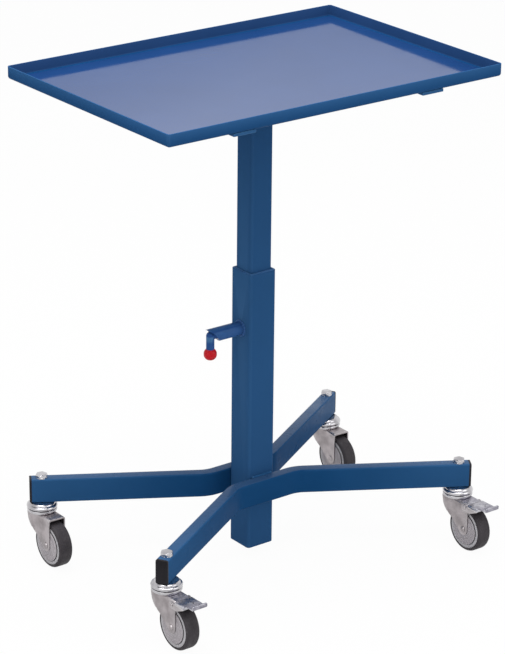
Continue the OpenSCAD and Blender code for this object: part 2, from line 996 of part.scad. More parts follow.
// Side view of the pedal's plate
module pedal_plate_profile() {
    polygon([
        [-plate_y0, plate_under(plate_y0)], [-plate_y0, plate_under(plate_y0) + pedal_t],
        [-plate_y1, plate_under(plate_y1) + pedal_t], [-plate_y1, plate_under(plate_y1)]
    ]);
}

// Side view of one pedal cheek
module pedal_cheek_profile() {
    polygon([
        [-pivot_y, pivot_z + ear_r], [-plate_y0, plate_under(plate_y0) + pedal_t],
        [-shoulder_y, plate_under(shoulder_y) + pedal_t],
        [-shoulder_y, plate_under(shoulder_y) - cheek_end_h],
        [-plate_y0 - 4, pivot_z - ear_r], [-pivot_y, pivot_z - ear_r]
    ]);
    translate([-pivot_y, pivot_z])
        circle(ear_r);
}

module pedal(side) {
    inner = fork_half + pass_gap;
    outer = inner + pedal_t;
    lip_x0 = lip_shift - lip_w / 2 + 0.5;
    lip_x1 = lip_shift + lip_w / 2 - 0.5;
    color(fork_zinc)
        at_caster(side)
            difference() {
                union() {
                    intersection() {
                        translate([-outer, 0, 0])
                            rotate([90, 0, 90])
                                linear_extrude(2 * outer)
                                    pedal_plate_profile();
                        linear_extrude(2 * crown_z)
                            polygon([
                                [-outer, 0], [-outer, -shoulder_y], [lip_x0, -shoulder_y - 1],
                                [lip_x0, -pedal_reach], [lip_x1, -pedal_reach],
                                [lip_x1, -shoulder_y - 1], [outer, -shoulder_y], [outer, 0]
                            ]);
                    }
                    for (face = [0, 1])
                        mirror([face, 0, 0])
                            translate([inner, 0, 0])
                                rotate([90, 0, 90])
                                    linear_extrude(pedal_t)
                                        pedal_cheek_profile();
                    translate([lip_shift, -pedal_reach + lip_t, lip_z])
                        rotate([90, 0, 0])
                            linear_extrude(lip_t)
                                rounded_rect(lip_w, lip_h, 2);
                }
                translate([-outer - cut, -pivot_y, pivot_z])
                    rotate([0, 90, 0])
                        cylinder(r = rivet_r + run_gap, h = 2 * outer + 2 * cut);
            }
}

module rivets(side) {
    color(zinc)
        at_caster(side)
            for (face = [0, 1])
                mirror([face, 0, 0])
                    translate([fork_gap / 2, -pivot_y, pivot_z])
                        rotate([0, 90, 0]) {
                            cylinder(r = rivet_r, h = fork_t + 2 * pass_gap + pedal_t);
                            translate([0, 0, fork_t + 2 * pass_gap + pedal_t])
                                cylinder(r1 = rivet_r + 1, r2 = rivet_r + 0.3, h = 0.8);
                        }
}

module pad(side) {
    half_w = 8;
    color(black)
        at_caster(side)
            translate([-half_w, 0, 0])
                rotate([90, 0, 90])
                    linear_extrude(2 * half_w)
                        polygon([
                            [-pad_y0, pad_z], [-pad_y0, plate_under(pad_y0)],
                            [-pad_y1, plate_under(pad_y1)], [-pad_y1, pad_z]
                        ]);
}

post();
post_plug();
guide_bush();
leg(-1);  // leg_front
leg(1);  // leg_back
leg_cap(sides[0]);  // cap_front_left
leg_cap(sides[1]);  // cap_front_right
leg_cap(sides[2]);  // cap_back_left
leg_cap(sides[3]);  // cap_back_right
frame_welds();
lock_tube();
lock_collar();
lock_spring();
lock_handle();
lock_knob();
mast();
mast_glide();
head_plate();
head_fasteners();
mast_welds();
support_beam();
rail(-1);  // rail_left
rail(1);  // rail_right
tray();
tray_welds();
caster_bolts();
caster_washers();
caster_nuts();
caster_balls();
caster_head(sides[0]);  // head_front_left
caster_head(sides[1]);  // head_front_right
caster_head(sides[2]);  // head_back_left
caster_head(sides[3]);  // head_back_right
fork(sides[0], true);  // fork_front_left
fork(sides[1], true);  // fork_front_right
fork(sides[2], false);  // fork_back_left
fork(sides[3], false);  // fork_back_right
axle(sides[0]);  // axle_front_left
axle(sides[1]);  // axle_front_right
axle(sides[2]);  // axle_back_left
axle(sides[3]);  // axle_back_right
guards(sides[0]);  // guards_front_left
guards(sides[1]);  // guards_front_right
guards(sides[2]);  // guards_back_left
guards(sides[3]);  // guards_back_right
core(sides[0]);  // core_front_left
core(sides[1]);  // core_front_right
core(sides[2]);  // core_back_left
core(sides[3]);  // core_back_right
tyre(sides[0]);  // tyre_front_left
tyre(sides[1]);  // tyre_front_right
tyre(sides[2]);  // tyre_back_left
tyre(sides[3]);  // tyre_back_right
pedal(sides[0]);  // pedal_left
pedal(sides[1]);  // pedal_right
pad(sides[0]);  // pad_left
pad(sides[1]);  // pad_right
rivets(sides[0]);  // rivets_left
rivets(sides[1]);  // rivets_right
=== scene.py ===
# %% [markdown]
# # Dressing a material support stand
#
# The object is a workshop stand: a shallow sheet-steel tray on a telescoping square post, held by a
# sprung locking pin, on two bent legs with four swivel casters. Its exact solids come in as a frame
# that never moves. This lesson models the pieces that show over that frame, one by one, with
# Blender's own operators, and gives each of them the finish of the real metal, paint and plastic.

# %% Open the frame
import json
import math

import bmesh
import bpy
from mathutils import Matrix, Vector


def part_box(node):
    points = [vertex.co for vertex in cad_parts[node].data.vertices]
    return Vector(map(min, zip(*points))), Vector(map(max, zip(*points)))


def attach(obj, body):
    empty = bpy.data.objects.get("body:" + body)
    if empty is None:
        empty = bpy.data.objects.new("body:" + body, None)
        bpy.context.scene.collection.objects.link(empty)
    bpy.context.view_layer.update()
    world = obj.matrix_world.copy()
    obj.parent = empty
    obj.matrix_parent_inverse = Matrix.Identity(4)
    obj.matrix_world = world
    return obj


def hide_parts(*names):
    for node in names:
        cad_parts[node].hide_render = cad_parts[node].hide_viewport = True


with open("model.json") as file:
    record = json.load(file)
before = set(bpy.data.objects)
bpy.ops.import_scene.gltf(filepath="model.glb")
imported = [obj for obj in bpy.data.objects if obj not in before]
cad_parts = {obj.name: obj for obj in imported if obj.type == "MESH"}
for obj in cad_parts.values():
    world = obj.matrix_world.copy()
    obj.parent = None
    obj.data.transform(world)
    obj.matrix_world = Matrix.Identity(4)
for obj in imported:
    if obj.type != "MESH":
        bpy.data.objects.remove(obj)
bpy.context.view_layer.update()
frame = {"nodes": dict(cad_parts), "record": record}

# %% [markdown]
# The frame's joints give the axes of the casters, the lock and the pedals, and the boxes of its solids
# give most sizes. Only what neither tells, such as the radius of a fold, is written down here.

# %% Read the main sizes from the frame
mm = 0.001
near = 0.1 * mm  # a face this close to a plane counts as lying on it
straight = 0.9  # a direction with a larger share along an axis counts as running along it
X, Y, Z = 0, 1, 2
quarter_turn = math.radians(90)
behaviour = frame["record"]["behaviour"]
body_of = {node: body for body, nodes in behaviour["bodies"].items() for node in nodes}
joint_place = {joint["name"]: Vector(joint["pos_m"]) for joint in behaviour["joints"] if "pos_m" in joint}
corners = ["front_left", "front_right", "back_left", "back_right"]
swivel = {corner: joint_place["swivel_" + corner] for corner in corners}
lock_axis = joint_place["handle_turn"]
post_y = lock_axis.y
print("Swivel axes:", {corner: tuple(round(v, 4) for v in place) for corner, place in swivel.items()})

# %% [markdown]
# An operator works on everything that is selected, and the imported solids are selected at the
# start, so every step begins by clearing the selection. In edit mode, faces and edges are then chosen
# by where they lie or where they point, as one would click on them by hand.

# %% Small tools for selecting and editing
def clear_selection():
    if bpy.context.mode != "OBJECT":
        bpy.ops.object.mode_set(mode="OBJECT")
    bpy.ops.object.select_all(action="DESELECT")


def make_active(piece):
    clear_selection()
    piece.select_set(True)
    bpy.context.view_layer.objects.active = piece


def name_piece(name):
    piece = bpy.context.active_object
    piece.name = piece.data.name = name
    bpy.ops.object.transform_apply()
    return piece


def edit(piece, kind, action="SELECT"):
    """Opens a piece in edit mode, with all of it selected unless action says otherwise."""
    make_active(piece)
    bpy.ops.object.mode_set(mode="EDIT")
    bpy.ops.mesh.select_mode(type=kind)
    bpy.ops.mesh.select_all(action=action)


def select_everything():
    bpy.ops.mesh.select_all(action="SELECT")


def extrude(x=0, y=0, z=0):
    bpy.ops.mesh.extrude_region_move(TRANSFORM_OT_translate={"value": (x, y, z)})


def turn_faces_outwards():
    select_everything()
    bpy.ops.mesh.normals_make_consistent(inside=False)


def facts(index, element):
    """An edge's middle and direction, a face's centre and normal, a vertex's index and place."""
    if isinstance(element, bmesh.types.BMVert):
        return index, element.co
    if isinstance(element, bmesh.types.BMFace):
        return element.calc_center_median(), element.normal
    first, second = (vertex.co for vertex in element.verts)
    return (first + second) / 2, (second - first).normalized()


def choose(piece, kind, wanted):
    """Opens a piece in edit mode and selects what wanted says yes to, going by its two facts."""
    edit(piece, kind, "DESELECT")
    mesh = bmesh.from_edit_mesh(piece.data)
    for index, element in enumerate({"VERT": mesh.verts, "EDGE": mesh.edges, "FACE": mesh.faces}[kind]):
        element.select_set(bool(wanted(*facts(index, element))))
    mesh.select_flush_mode()
    bmesh.update_edit_mesh(piece.data)


def delete_faces(piece, wanted):
    choose(piece, "FACE", wanted)
    bpy.ops.mesh.delete(type="FACE")
    clear_selection()


def running(axis, above=-1.0):
    """A choice of edges: those that run along an axis and lie above a height."""
    return lambda middle, along: abs(along[axis]) > straight and middle.z > above


def round_edges(piece, wanted, width, segments):
    choose(piece, "EDGE", wanted)
    bpy.ops.mesh.bevel(offset=width, segments=segments, affect="EDGES")
    clear_selection()


def add_block(name, low, high):
    """A cube primitive that fills the space between two opposite corners."""
    low, high = Vector(low), Vector(high)
    clear_selection()
    bpy.ops.mesh.primitive_cube_add(size=1, location=(low + high) / 2, scale=high - low)
    return name_piece(name)


def add_cylinder(name, sides, radius, length, middle, turn_y=0.0):
    """A cylinder primitive round its middle, upright unless it is turned about Y."""
    clear_selection()
    bpy.ops.mesh.primitive_cylinder_add(vertices=sides, radius=radius, depth=length, location=middle,
                                        rotation=(0, turn_y, 0))
    return name_piece(name)


# %% [markdown]
# Modifiers do the even, repetitive work: they round edges, give sheet its thickness and cut holes.
# Each one is applied at once, so that the finished piece is plain mesh.

# %% Small tools for modifiers
def apply_modifier(piece, kind, **settings):
    make_active(piece)
    modifier = piece.modifiers.new(kind.title(), kind)
    for setting, value in settings.items():
        setattr(modifier, setting, value)
    bpy.ops.object.modifier_apply(modifier=modifier.name)


def soften_edges(piece, width, segments=2, angle=40):
    apply_modifier(piece, "BEVEL", width=width, segments=segments, limit_method="ANGLE",
                   angle_limit=math.radians(angle))


def combine(piece, tool, operation="DIFFERENCE"):
    """Cuts a tool out of a piece, or fuses it on with UNION, and throws the tool away."""
    apply_modifier(piece, "BOOLEAN", operation=operation, object=tool, solver="EXACT")
    bpy.data.objects.remove(tool)


def thicken_inwards(piece, wall):
    """Gives an open outer skin its wall, on the side that its faces turn away from."""
    edit(piece, "FACE")
    bpy.ops.mesh.remove_doubles(threshold=0.00001)
    turn_faces_outwards()
    apply_modifier(piece, "SOLIDIFY", thickness=wall, offset=-1, use_even_offset=True)


def join_pieces(name, pieces):
    make_active(pieces[0])
    for piece in pieces[1:]:
        piece.select_set(True)
    if len(pieces) > 1:
        bpy.ops.object.join()
    return name_piece(name)


def copy_piece(piece, name, move):
    """A copy with its own mesh, shifted by move."""
    twin = piece.copy()
    twin.data = piece.data.copy()
    twin.name = twin.data.name = name
    twin.data.transform(Matrix.Translation(move))
    bpy.context.collection.objects.link(twin)
    return twin


# %% [markdown]
# Every round piece here was once turned, pressed round or rolled, so one helper works as a lathe.
# It starts from a circle, then pulls the rim along a profile: each step extrudes the last ring,
# moves it up and resizes it. Spinning a profile round an axis would give the same mesh, but a
# growing ring never meets itself at a seam.

# %% The lathe
def turn_on_lathe(name, profile, sides=64, closed=False):
    """profile lists (radius, height) pairs. A closed profile makes a ring, an open one gets two caps."""
    clear_selection()
    radius, height = profile[0]
    bpy.ops.mesh.primitive_circle_add(vertices=sides, radius=radius, location=(0, 0, height))
    piece = name_piece(name)
    edit(piece, "EDGE")
    for next_radius, next_height in profile[1:]:
        extrude(z=next_height - height)
        grow = next_radius / radius
        bpy.ops.transform.resize(value=(grow, grow, 1), center_override=(0, 0, next_height))
        radius, height = next_radius, next_height
    bpy.ops.mesh.select_all(action="DESELECT")
    bpy.ops.mesh.select_non_manifold()
    if closed:
        bpy.ops.mesh.bridge_edge_loops()
    else:
        bpy.ops.mesh.fill_holes(sides=0)
    turn_faces_outwards()
    clear_selection()
    return piece


def profile_points(steps, radius=0.0, height=0.0):
    """Profile points that lie the given millimetres beyond a radius and above a height."""
    return [(radius + out * mm, height + up * mm) for out, up in steps]


along_x, against_x = (0, 90, 0), (0, -90, 0)  # the turns, in degrees, from +Z to +X and to -X


def lay_on(piece, place, turn=(0, 0, 0)):
    """Turns a lathed piece from +Z to its own axis and moves it to its place."""
    make_active(piece)
    piece.rotation_euler = [math.radians(angle) for angle in turn]
    piece.location = place
    bpy.ops.object.transform_apply()
    return piece


# %% [markdown]
# ## Finishes
#
# Every finish is built from nodes that read the object's own coordinates, so a pattern keeps its
# real size in metres on every piece. A few small helpers cover what they share: noise at a given
# scale, a ramp or a mix of two colours, a painted highlight on sharp edges, and a bump.

# %% Tools for materials
def start_material(name, colour, roughness, metallic=0.0, specular=0.5):
    material = bpy.data.materials.new(name)
    material.use_nodes = True
    shader = material.node_tree.nodes["Principled BSDF"]
    for socket, value in (("Base Color", (*colour, 1)), ("Roughness", roughness),
                          ("Metallic", metallic), ("Specular IOR Level", specular)):
        shader.inputs[socket].default_value = value
    return material, shader


def add_node(holder, kind, inputs, **settings):
    """A node whose inputs are set to values or fed by the outputs of other nodes."""
    node = holder.node_tree.nodes.new("ShaderNode" + kind)
    for setting, value in settings.items():
        setattr(node, setting, value)
    for socket, value in inputs.items():
        if isinstance(value, bpy.types.NodeSocket):
            holder.node_tree.links.new(value, node.inputs[socket])
        else:
            node.inputs[socket].default_value = value
    return node


def add_noise(material, scale, detail=2.0, stretch=(1, 1, 1)):
    place = add_node(material, "TexCoord", {})
    mapping = add_node(material, "Mapping", {"Vector": place.outputs["Object"], "Scale": stretch})
    noise = {"Vector": mapping.outputs["Vector"], "Scale": scale, "Detail": detail}
    return add_node(material, "TexNoise", noise).outputs["Fac"]


def ramp_colours(material, factor, first, second):
    ramp = add_node(material, "ValToRGB", {"Fac": factor})
    for stop, place, colour in zip(ramp.color_ramp.elements, (0.35, 0.65), (first, second)):
        stop.position, stop.color = place, (*colour, 1)
    return ramp.outputs["Color"]


def mix_colours(material, factor, first, second):
    colour_a, colour_b = 6, 7  # the places of a Mix node's two colour inputs
    mix = add_node(material, "Mix", {0: factor, colour_a: first, colour_b: second}, data_type="RGBA")
    return mix.outputs[2]


def spread_value(material, factor, low, high, start=0.3, end=0.7):
    spread = add_node(material, "MapRange", {
        "Value": factor, "From Min": start, "From Max": end, "To Min": low, "To Max": high})
    return spread.outputs["Result"]


def add_bump(material, height, distance, strength, under=None):
    lower = {} if under is None else {"Normal": under}
    bump = {"Height": height, "Distance": distance, "Strength": strength, **lower}
    return add_node(material, "Bump", bump).outputs["Normal"]


def painted_edge_highlight(material, start, end):
    """A value that rises from 0 to 1 where the surface is sharply convex, used to paint a highlight there.
    """
    geometry = add_node(material, "NewGeometry", {})
    return spread_value(material, geometry.outputs["Pointiness"], 0.0, 1.0, start, end)


def connect(material, shader, colour, roughness, normal):
    for output, socket in ((colour, "Base Color"), (roughness, "Roughness"), (normal, "Normal")):
        material.node_tree.links.new(output, shader.inputs[socket])
    return material


# %% [markdown]
# The frame, the tray and the lock's bar are powder coated. The coat has three things that a plain
# colour lacks: a fine orange peel about 1.5 mm across, slow changes of thickness that shift the blue a
# little, and a painted highlight, a lighter blue, on every sharp edge. The tray, mast and post get a
# darker copy of the coat, painted shade to offset the stronger light they catch, and inside the tray's
# rim a violet copy is painted light for the light that falls there. The tray's floor is polished by
# what slides on it, so that at a flat angle it mirrors the rim and the white behind it. The tops of the
# legs get a paler copy, a painted highlight for the light from above, and the lock's tube and bar a
# lighter copy, painted light for the light on their round upper sides.

# %% Blue powder coat
def make_powder_coat(name, deep, light, specular, roughness=(0.26, 0.36), orange_peel=0.00003):
    material, shader = start_material(name, light, roughness[1], specular=specular)
    blue = ramp_colours(material, add_noise(material, 7, detail=3), deep, light)
    speckle = spread_value(material, add_noise(material, 1500, detail=1), 0.0, 0.05, 0.55, 0.8)
    blue = mix_colours(material, speckle, blue, (0.04, 0.12, 0.28, 1))
    # Sharp edges are mixed to a lighter blue: a painted highlight.
    blue = mix_colours(material, painted_edge_highlight(material, 0.52, 0.60), blue, (0.055, 0.150, 0.31, 1))
    gloss = spread_value(material, add_noise(material, 40), *roughness)
    waves = add_bump(material, add_noise(material, 9, detail=1), 0.00015, 0.35)
    peel = add_bump(material, add_noise(material, 650, detail=1), orange_peel, 0.4, waves)
    return connect(material, shader, blue, gloss, peel)


powder_coat = make_powder_coat("blue_powder_coat", (0.0060, 0.0480, 0.138), (0.0080, 0.0550, 0.154), 0.012)
# A darker copy of the coat: painted shade for the tray, mast and post, which catch more light.
painted_shade_coat = make_powder_coat("painted_shade_blue_coat", (0.0046, 0.0415, 0.131), (0.0060, 0.0470, 0.147), 0.004)
# A warmer, violet copy of the coat for the tray's inner walls: painted light for the light inside the rim.
painted_light_inner_coat = make_powder_coat("painted_light_inner_blue_coat", (0.0150, 0.0480, 0.138), (0.0180, 0.0540, 0.154), 0.012)
polished_coat = make_powder_coat("polished_blue_coat", (0.0085, 0.0360, 0.126), (0.0105, 0.0410, 0.140),
                                 0.22, roughness=(0.09, 0.14), orange_peel=0.000006)
# A paler copy of the coat for the tops of the legs: a painted highlight for the light from above.
painted_highlight_top_coat = make_powder_coat("painted_highlight_top_blue_coat", (0.0250, 0.0680, 0.155), (0.0320, 0.0790, 0.175),
                               0.06, roughness=(0.22, 0.32))
# A lighter copy of the coat: painted light for the round upper sides of the lock's tube and bar, and a
# painted highlight on the weld ring at the lock.
painted_light_for_lock = make_powder_coat("painted_light_lighter_blue_coat", (0.0200, 0.0700, 0.230), (0.0240, 0.0790, 0.255),
                             0.06, roughness=(0.22, 0.32))

# %% [markdown]
# Most bright metal is on the casters. The rings, bolts and nuts are zinc plated and polished by use;
# the plating on the pressed forks is duller and warmer, and on the pedals it is blotchy; springs and
# balls are plain hardened steel. Roughness and tint wander on all of them, since a metal with one
# roughness all over looks like plastic foil.

# %% Bright metals
def make_metal(name, dull, bright, roughness, grain, stretch=(1, 1, 1), cloud_scale=60, depth=0.00002):
    material, shader = start_material(name, bright, roughness[1], metallic=1.0)
    tint = ramp_colours(material, add_noise(material, cloud_scale, detail=3), dull, bright)
    # Sharp edges are mixed towards near white: a painted highlight.
    tint = mix_colours(material, painted_edge_highlight(material, 0.53, 0.64), tint, (0.92, 0.92, 0.93, 1))
    fine = add_noise(material, grain, detail=2, stretch=stretch)
    gloss = spread_value(material, fine, *roughness)
    return connect(material, shader, tint, gloss, add_bump(material, fine, depth, 0.4))


plated_steel = make_metal("bright_zinc_plate", (0.37, 0.36, 0.38), (0.55, 0.54, 0.56), (0.14, 0.24), 500,
                          depth=0.000003)
pressed_steel = make_metal("pressed_zinc_sheet", (0.285, 0.258, 0.266), (0.425, 0.388, 0.400), (0.28, 0.44),
                           420, stretch=(1, 1, 6))
pedal_steel = make_metal("mottled_zinc_sheet", (0.210, 0.205, 0.250), (0.400, 0.390, 0.440), (0.26, 0.36),
                         420, cloud_scale=170, depth=0.00001)
hard_steel = make_metal("plain_hard_steel", (0.30, 0.30, 0.32), (0.45, 0.45, 0.47), (0.20, 0.34), 700)

# %% [markdown]
# The plastics differ mostly in gloss. Each has the faint grain of its mould as a bump, a slow drift
# in colour, and edges made a little lighter by a painted highlight. The tread is a dark grey rubber:
# rougher, with scuffs and a trace of pale dust. The nylon bush in the post's mouth and the rim round
# it get a lighter blue, a painted highlight for the light line along the rim.

# %% Plastics and rubber
def make_plastic(name, first, second, edge, roughness, grain_depth=0.00003, specular=0.3):
    material, shader = start_material(name, first, roughness[0], specular=specular)
    colour = ramp_colours(material, add_noise(material, 25, detail=3), first, second)
    # Sharp edges are mixed to a lighter shade: a painted highlight.
    colour = mix_colours(material, painted_edge_highlight(material, 0.53, 0.66), colour, (*edge, 1))
    gloss = spread_value(material, add_noise(material, 90, detail=3), *roughness)
    grain = add_bump(material, add_noise(material, 1400, detail=1), grain_depth, 0.5)
    return connect(material, shader, colour, gloss, grain)


def make_tread_rubber():
    material, shader = start_material("dark_grey_tread", (0.055, 0.048, 0.057), 0.62, specular=0.2)
    rubber = ramp_colours(material, add_noise(material, 40, detail=4), (0.031, 0.027, 0.031),
                          (0.045, 0.040, 0.045))
    scuffs = add_noise(material, 260, detail=5, stretch=(4, 1, 1))
    dust = spread_value(material, scuffs, 0.0, 0.35, 0.56, 0.75)
    rubber = mix_colours(material, dust, rubber, (0.13, 0.12, 0.125, 1))
    gloss = spread_value(material, add_noise(material, 120), 0.5, 0.7)
    grain = add_bump(material, add_noise(material, 900), 0.00004, 0.5)
    return connect(material, shader, rubber, gloss, grain)


black_plastic = make_plastic("black_cap_plastic", (0.011, 0.0105, 0.013), (0.017, 0.016, 0.020),
                             (0.04, 0.04, 0.045), (0.38, 0.5), specular=0.1)
nylon = make_plastic("natural_nylon", (0.70, 0.70, 0.66), (0.78, 0.78, 0.74), (0.85, 0.85, 0.82),
                     (0.35, 0.5))
red_plastic = make_plastic("glossy_red_plastic", (0.42, 0.004, 0.010), (0.52, 0.006, 0.014),
                           (0.65, 0.04, 0.05), (0.14, 0.22), grain_depth=0.00001, specular=0.15)
guard_plastic = make_plastic("grey_guard_plastic", (0.345, 0.320, 0.340), (0.400, 0.372, 0.392),
                             (0.48, 0.46, 0.48), (0.42, 0.55), specular=0.15)
core_plastic = make_plastic("light_grey_core_plastic", (0.38, 0.37, 0.39), (0.44, 0.43, 0.45),
                            (0.52, 0.51, 0.53), (0.4, 0.52))
tread_rubber = make_tread_rubber()
# A lighter blue for the bush and the post's rim: a painted highlight for the light line along the rim.
painted_mouth_highlight = make_plastic("painted_highlight_blue_mouth_nylon", (0.066, 0.178, 0.385), (0.078, 0.200, 0.425),
                          (0.09, 0.22, 0.46), (0.35, 0.5), specular=0.02)
print("Finishes:", len(bpy.data.materials))

# %% [markdown]
# Every solid of the frame gets its finish first, by the material slot that the record names for it.
# The pieces that are modelled below then take the place of the solids that show.

# %% Give every solid its finish
finish_of_slot = {
    "frame_blue": powder_coat, "plated_steel": plated_steel, "fork_steel": pressed_steel,
    "spring_steel": hard_steel, "cap_black": black_plastic, "guide_white": nylon,
    "knob_red": red_plastic, "wheel_grey": guard_plastic, "tread_grey": tread_rubber,
}
slot_of = {part["node"]: part["material_slot"] for part in frame["record"]["subparts"]}
for node, solid in frame["nodes"].items():
    for index in range(len(solid.material_slots)):
        solid.material_slots[index].material = finish_of_slot[slot_of[node]]
    if not solid.material_slots:
        solid.data.materials.append(finish_of_slot[slot_of[node]])
print("Solids with a finish:", len(frame["nodes"]))


def hand_over(piece, node, material=None, smooth=35, stands_for_node=True):
    """Finishes a piece: shading, material, body and the solid whose place it takes."""
    make_active(piece)
    bpy.ops.object.shade_smooth_by_angle(angle=math.radians(smooth))
    piece.data.materials.clear()
    piece.data.materials.append(material or finish_of_slot[slot_of[node]])
    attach(piece, body_of[node])
    if stands_for_node:
        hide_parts(node)
    print(f"{piece.name}: {len(piece.data.polygons)} faces, rides on {body_of[node]}")


def paint_faces(piece, material, wanted):
    """Gives some faces of a finished piece a second finish."""
    piece.data.materials.append(material)
    choose(piece, "FACE", wanted)
    piece.active_material_index = len(piece.data.materials) - 1
    bpy.ops.object.material_slot_assign()
    clear_selection()


# %% [markdown]
# ## The tray
#
# The real tray is one sheet of steel, 2 mm thick, folded up on four sides and closed at the corners.
# A sheet is best made as a sheet: an open skin with rounded corners and a rounded fold, which then
# gets its thickness inwards.

# %% Fold the tray
sheet, corner_round, fold_round = 2 * mm, 5 * mm, 4.7 * mm
tray_low, tray_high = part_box("tray")
tray = add_block("tray_pan", tray_low, tray_high)
delete_faces(tray, lambda centre, normal: normal.z > straight)
round_edges(tray, running(Z), corner_round, 6)
round_edges(tray, lambda middle, along: middle.z < tray_low.z + near, fold_round, 5)
thicken_inwards(tray, sheet)
soften_edges(tray, 0.5 * mm, angle=60)
# The tray takes the darker coat: painted shade.
hand_over(tray, "tray", material=painted_shade_coat)
paint_faces(tray, polished_coat,
            lambda centre, normal: normal.z > 0.99 and centre.z < tray_low.z + sheet + near)
# The inner walls of the rim take the violet copy: painted light.
skin = 1.7 * mm
inner_x, inner_y = tray_high.x - skin, (tray_high.y - tray_low.y) / 2 - skin
paint_faces(tray, painted_light_inner_coat, lambda centre, normal: (
    abs(normal.z) < 0.7 and abs(centre.x) < inner_x and abs(centre.y - post_y) < inner_y))

# %% [markdown]
# ## Rails, channel and head plate
#
# Under the tray lie two flat rails, whose ends show in front, and under them a folded channel that
# takes the mast's head plate. The flat bars are blocks with rounded edges; the channel is a block
# that loses its underside and its ends and then gets a wall.

# %% Bars under the tray
for node, name, bar_edge in (("rail_left", "flat_rail_left", 0.9 * mm),
                             ("rail_right", "flat_rail_right", 0.9 * mm),
                             ("head_plate", "mast_head_plate", 0.8 * mm)):
    flat_bar = add_block(name, *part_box(node))
    soften_edges(flat_bar, bar_edge, segments=3)
    hand_over(flat_bar, node)

beam_wall, beam_round = 3 * mm, 4 * mm
beam_low, beam_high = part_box("support_beam")
beam = add_block("support_channel", beam_low, beam_high)
delete_faces(beam, lambda centre, normal: normal.z < -straight or abs(normal.x) > straight)
round_edges(beam, running(X, beam_high.z - near), beam_round, 5)
thicken_inwards(beam, beam_wall)
soften_edges(beam, 0.4 * mm, angle=60)
hand_over(beam, "support_beam")

# %% [markdown]
# ## Mast and post
#
# Both are drawn square tubes: a block without its ends, long edges rounded, wall put on inwards. The
# locking pin enters the post through one hole and the mast through one of a row of holes in its left
# wall. The row is cut with a Boolean modifier, which is the mesh version of a drill. Both take a
# darker coat, painted shade. The nylon bush in the post's mouth and the post's rim get a lighter blue,
# a painted highlight along the rim, and the plug at the post's foot is pushed in flush.

# %% Square tubes
def make_square_tube(node, name, wall, corner, lip=0.0):
    low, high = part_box(node)
    tube = add_block(name, low, high + Vector((0, 0, lip)))
    delete_faces(tube, lambda centre, normal: abs(normal.z) > straight)
    round_edges(tube, running(Z), corner, 8)
    thicken_inwards(tube, wall)
    soften_edges(tube, 0.35 * mm, angle=60)
    return tube


def drill_along_x(piece, radius, places):
    """Cuts round holes through whatever lies round the given places, along X."""
    drills = [add_cylinder("drill", 40, radius, 20 * mm, place, quarter_turn) for place in places]
    combine(piece, join_pieces("drill", drills))


index_pitch, index_hole_radius, pin_radius = 30 * mm, 6.6 * mm, 6 * mm
mast_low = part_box("mast")[0]
post_low, post_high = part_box("post")
mast = make_square_tube("mast", "sliding_mast", 2.5 * mm, 4 * mm)
lowest_hole = mast_low.z + 20 * mm
hole_heights = [lock_axis.z + step * index_pitch for step in range(-20, 3)]
hole_heights = [height for height in hole_heights if height > lowest_hole]
drill_along_x(mast, index_hole_radius, [Vector((mast_low.x, post_y, height)) for height in hole_heights])
# The mast takes the darker coat: painted shade.
hand_over(mast, "mast", material=painted_shade_coat)

post = make_square_tube("post", "fixed_post", 3 * mm, 5 * mm)
drill_along_x(post, pin_radius + 0.05 * mm, [Vector((post_low.x, post_y, lock_axis.z))])
# The post takes the darker coat: painted shade.
hand_over(post, "post", material=painted_shade_coat)
# The post's rim gets the lighter mouth blue: a painted highlight.
paint_faces(post, painted_mouth_highlight, lambda centre, normal: normal.z > 0.6 and centre.z > post_high.z - 1 * mm)

bush = make_square_tube("guide_bush", "guide_bush_with_lip", 1.7 * mm, 2 * mm, lip=1.2 * mm)
# The bush gets the lighter mouth blue: a painted highlight.
hand_over(bush, "guide_bush", material=painted_mouth_highlight)
plug_gap = 3.2 * mm
plug = add_block("post_end_plug", post_low + Vector((plug_gap, plug_gap, 0.5 * mm)),
                 (post_high.x - plug_gap, post_high.y - plug_gap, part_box("post_plug")[1].z))
soften_edges(plug, 0.8 * mm)
hand_over(plug, "post_plug")
print("Index holes:", len(hole_heights))

# %% [markdown]
# ## The bent legs
#
# Each leg is one rectangular tube, bent twice in a press. The mesh is made the way the tube was: a
# rounded section is pulled out along the straight middle, swung round the bend's centre with spin,
# and pulled out again along the arm. A mirror makes the other half. Spin counts its angle clockwise,
# the reverse of what trigonometry gives.

# %% Bend the legs
leg_height, leg_width, leg_wall, leg_corner = 40 * mm, 20 * mm, 2 * mm, 3 * mm
leg_bend_radius, leg_tail, leg_angle = 50 * mm, 16 * mm, math.radians(31)
leg_low, leg_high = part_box("leg_front")
leg_middle_z = (leg_low.z + leg_high.z) / 2
leg_offset = (post_high.y - post_low.y) / 2 + leg_width / 2
caster_x = swivel["front_right"].x
caster_reach = abs(swivel["front_right"].y - post_y)
arm_run = (caster_reach - leg_offset - leg_bend_radius * (1 - math.cos(leg_angle))) / math.sin(leg_angle)
bend_start = caster_x - leg_bend_radius * math.sin(leg_angle) - arm_run * math.cos(leg_angle)


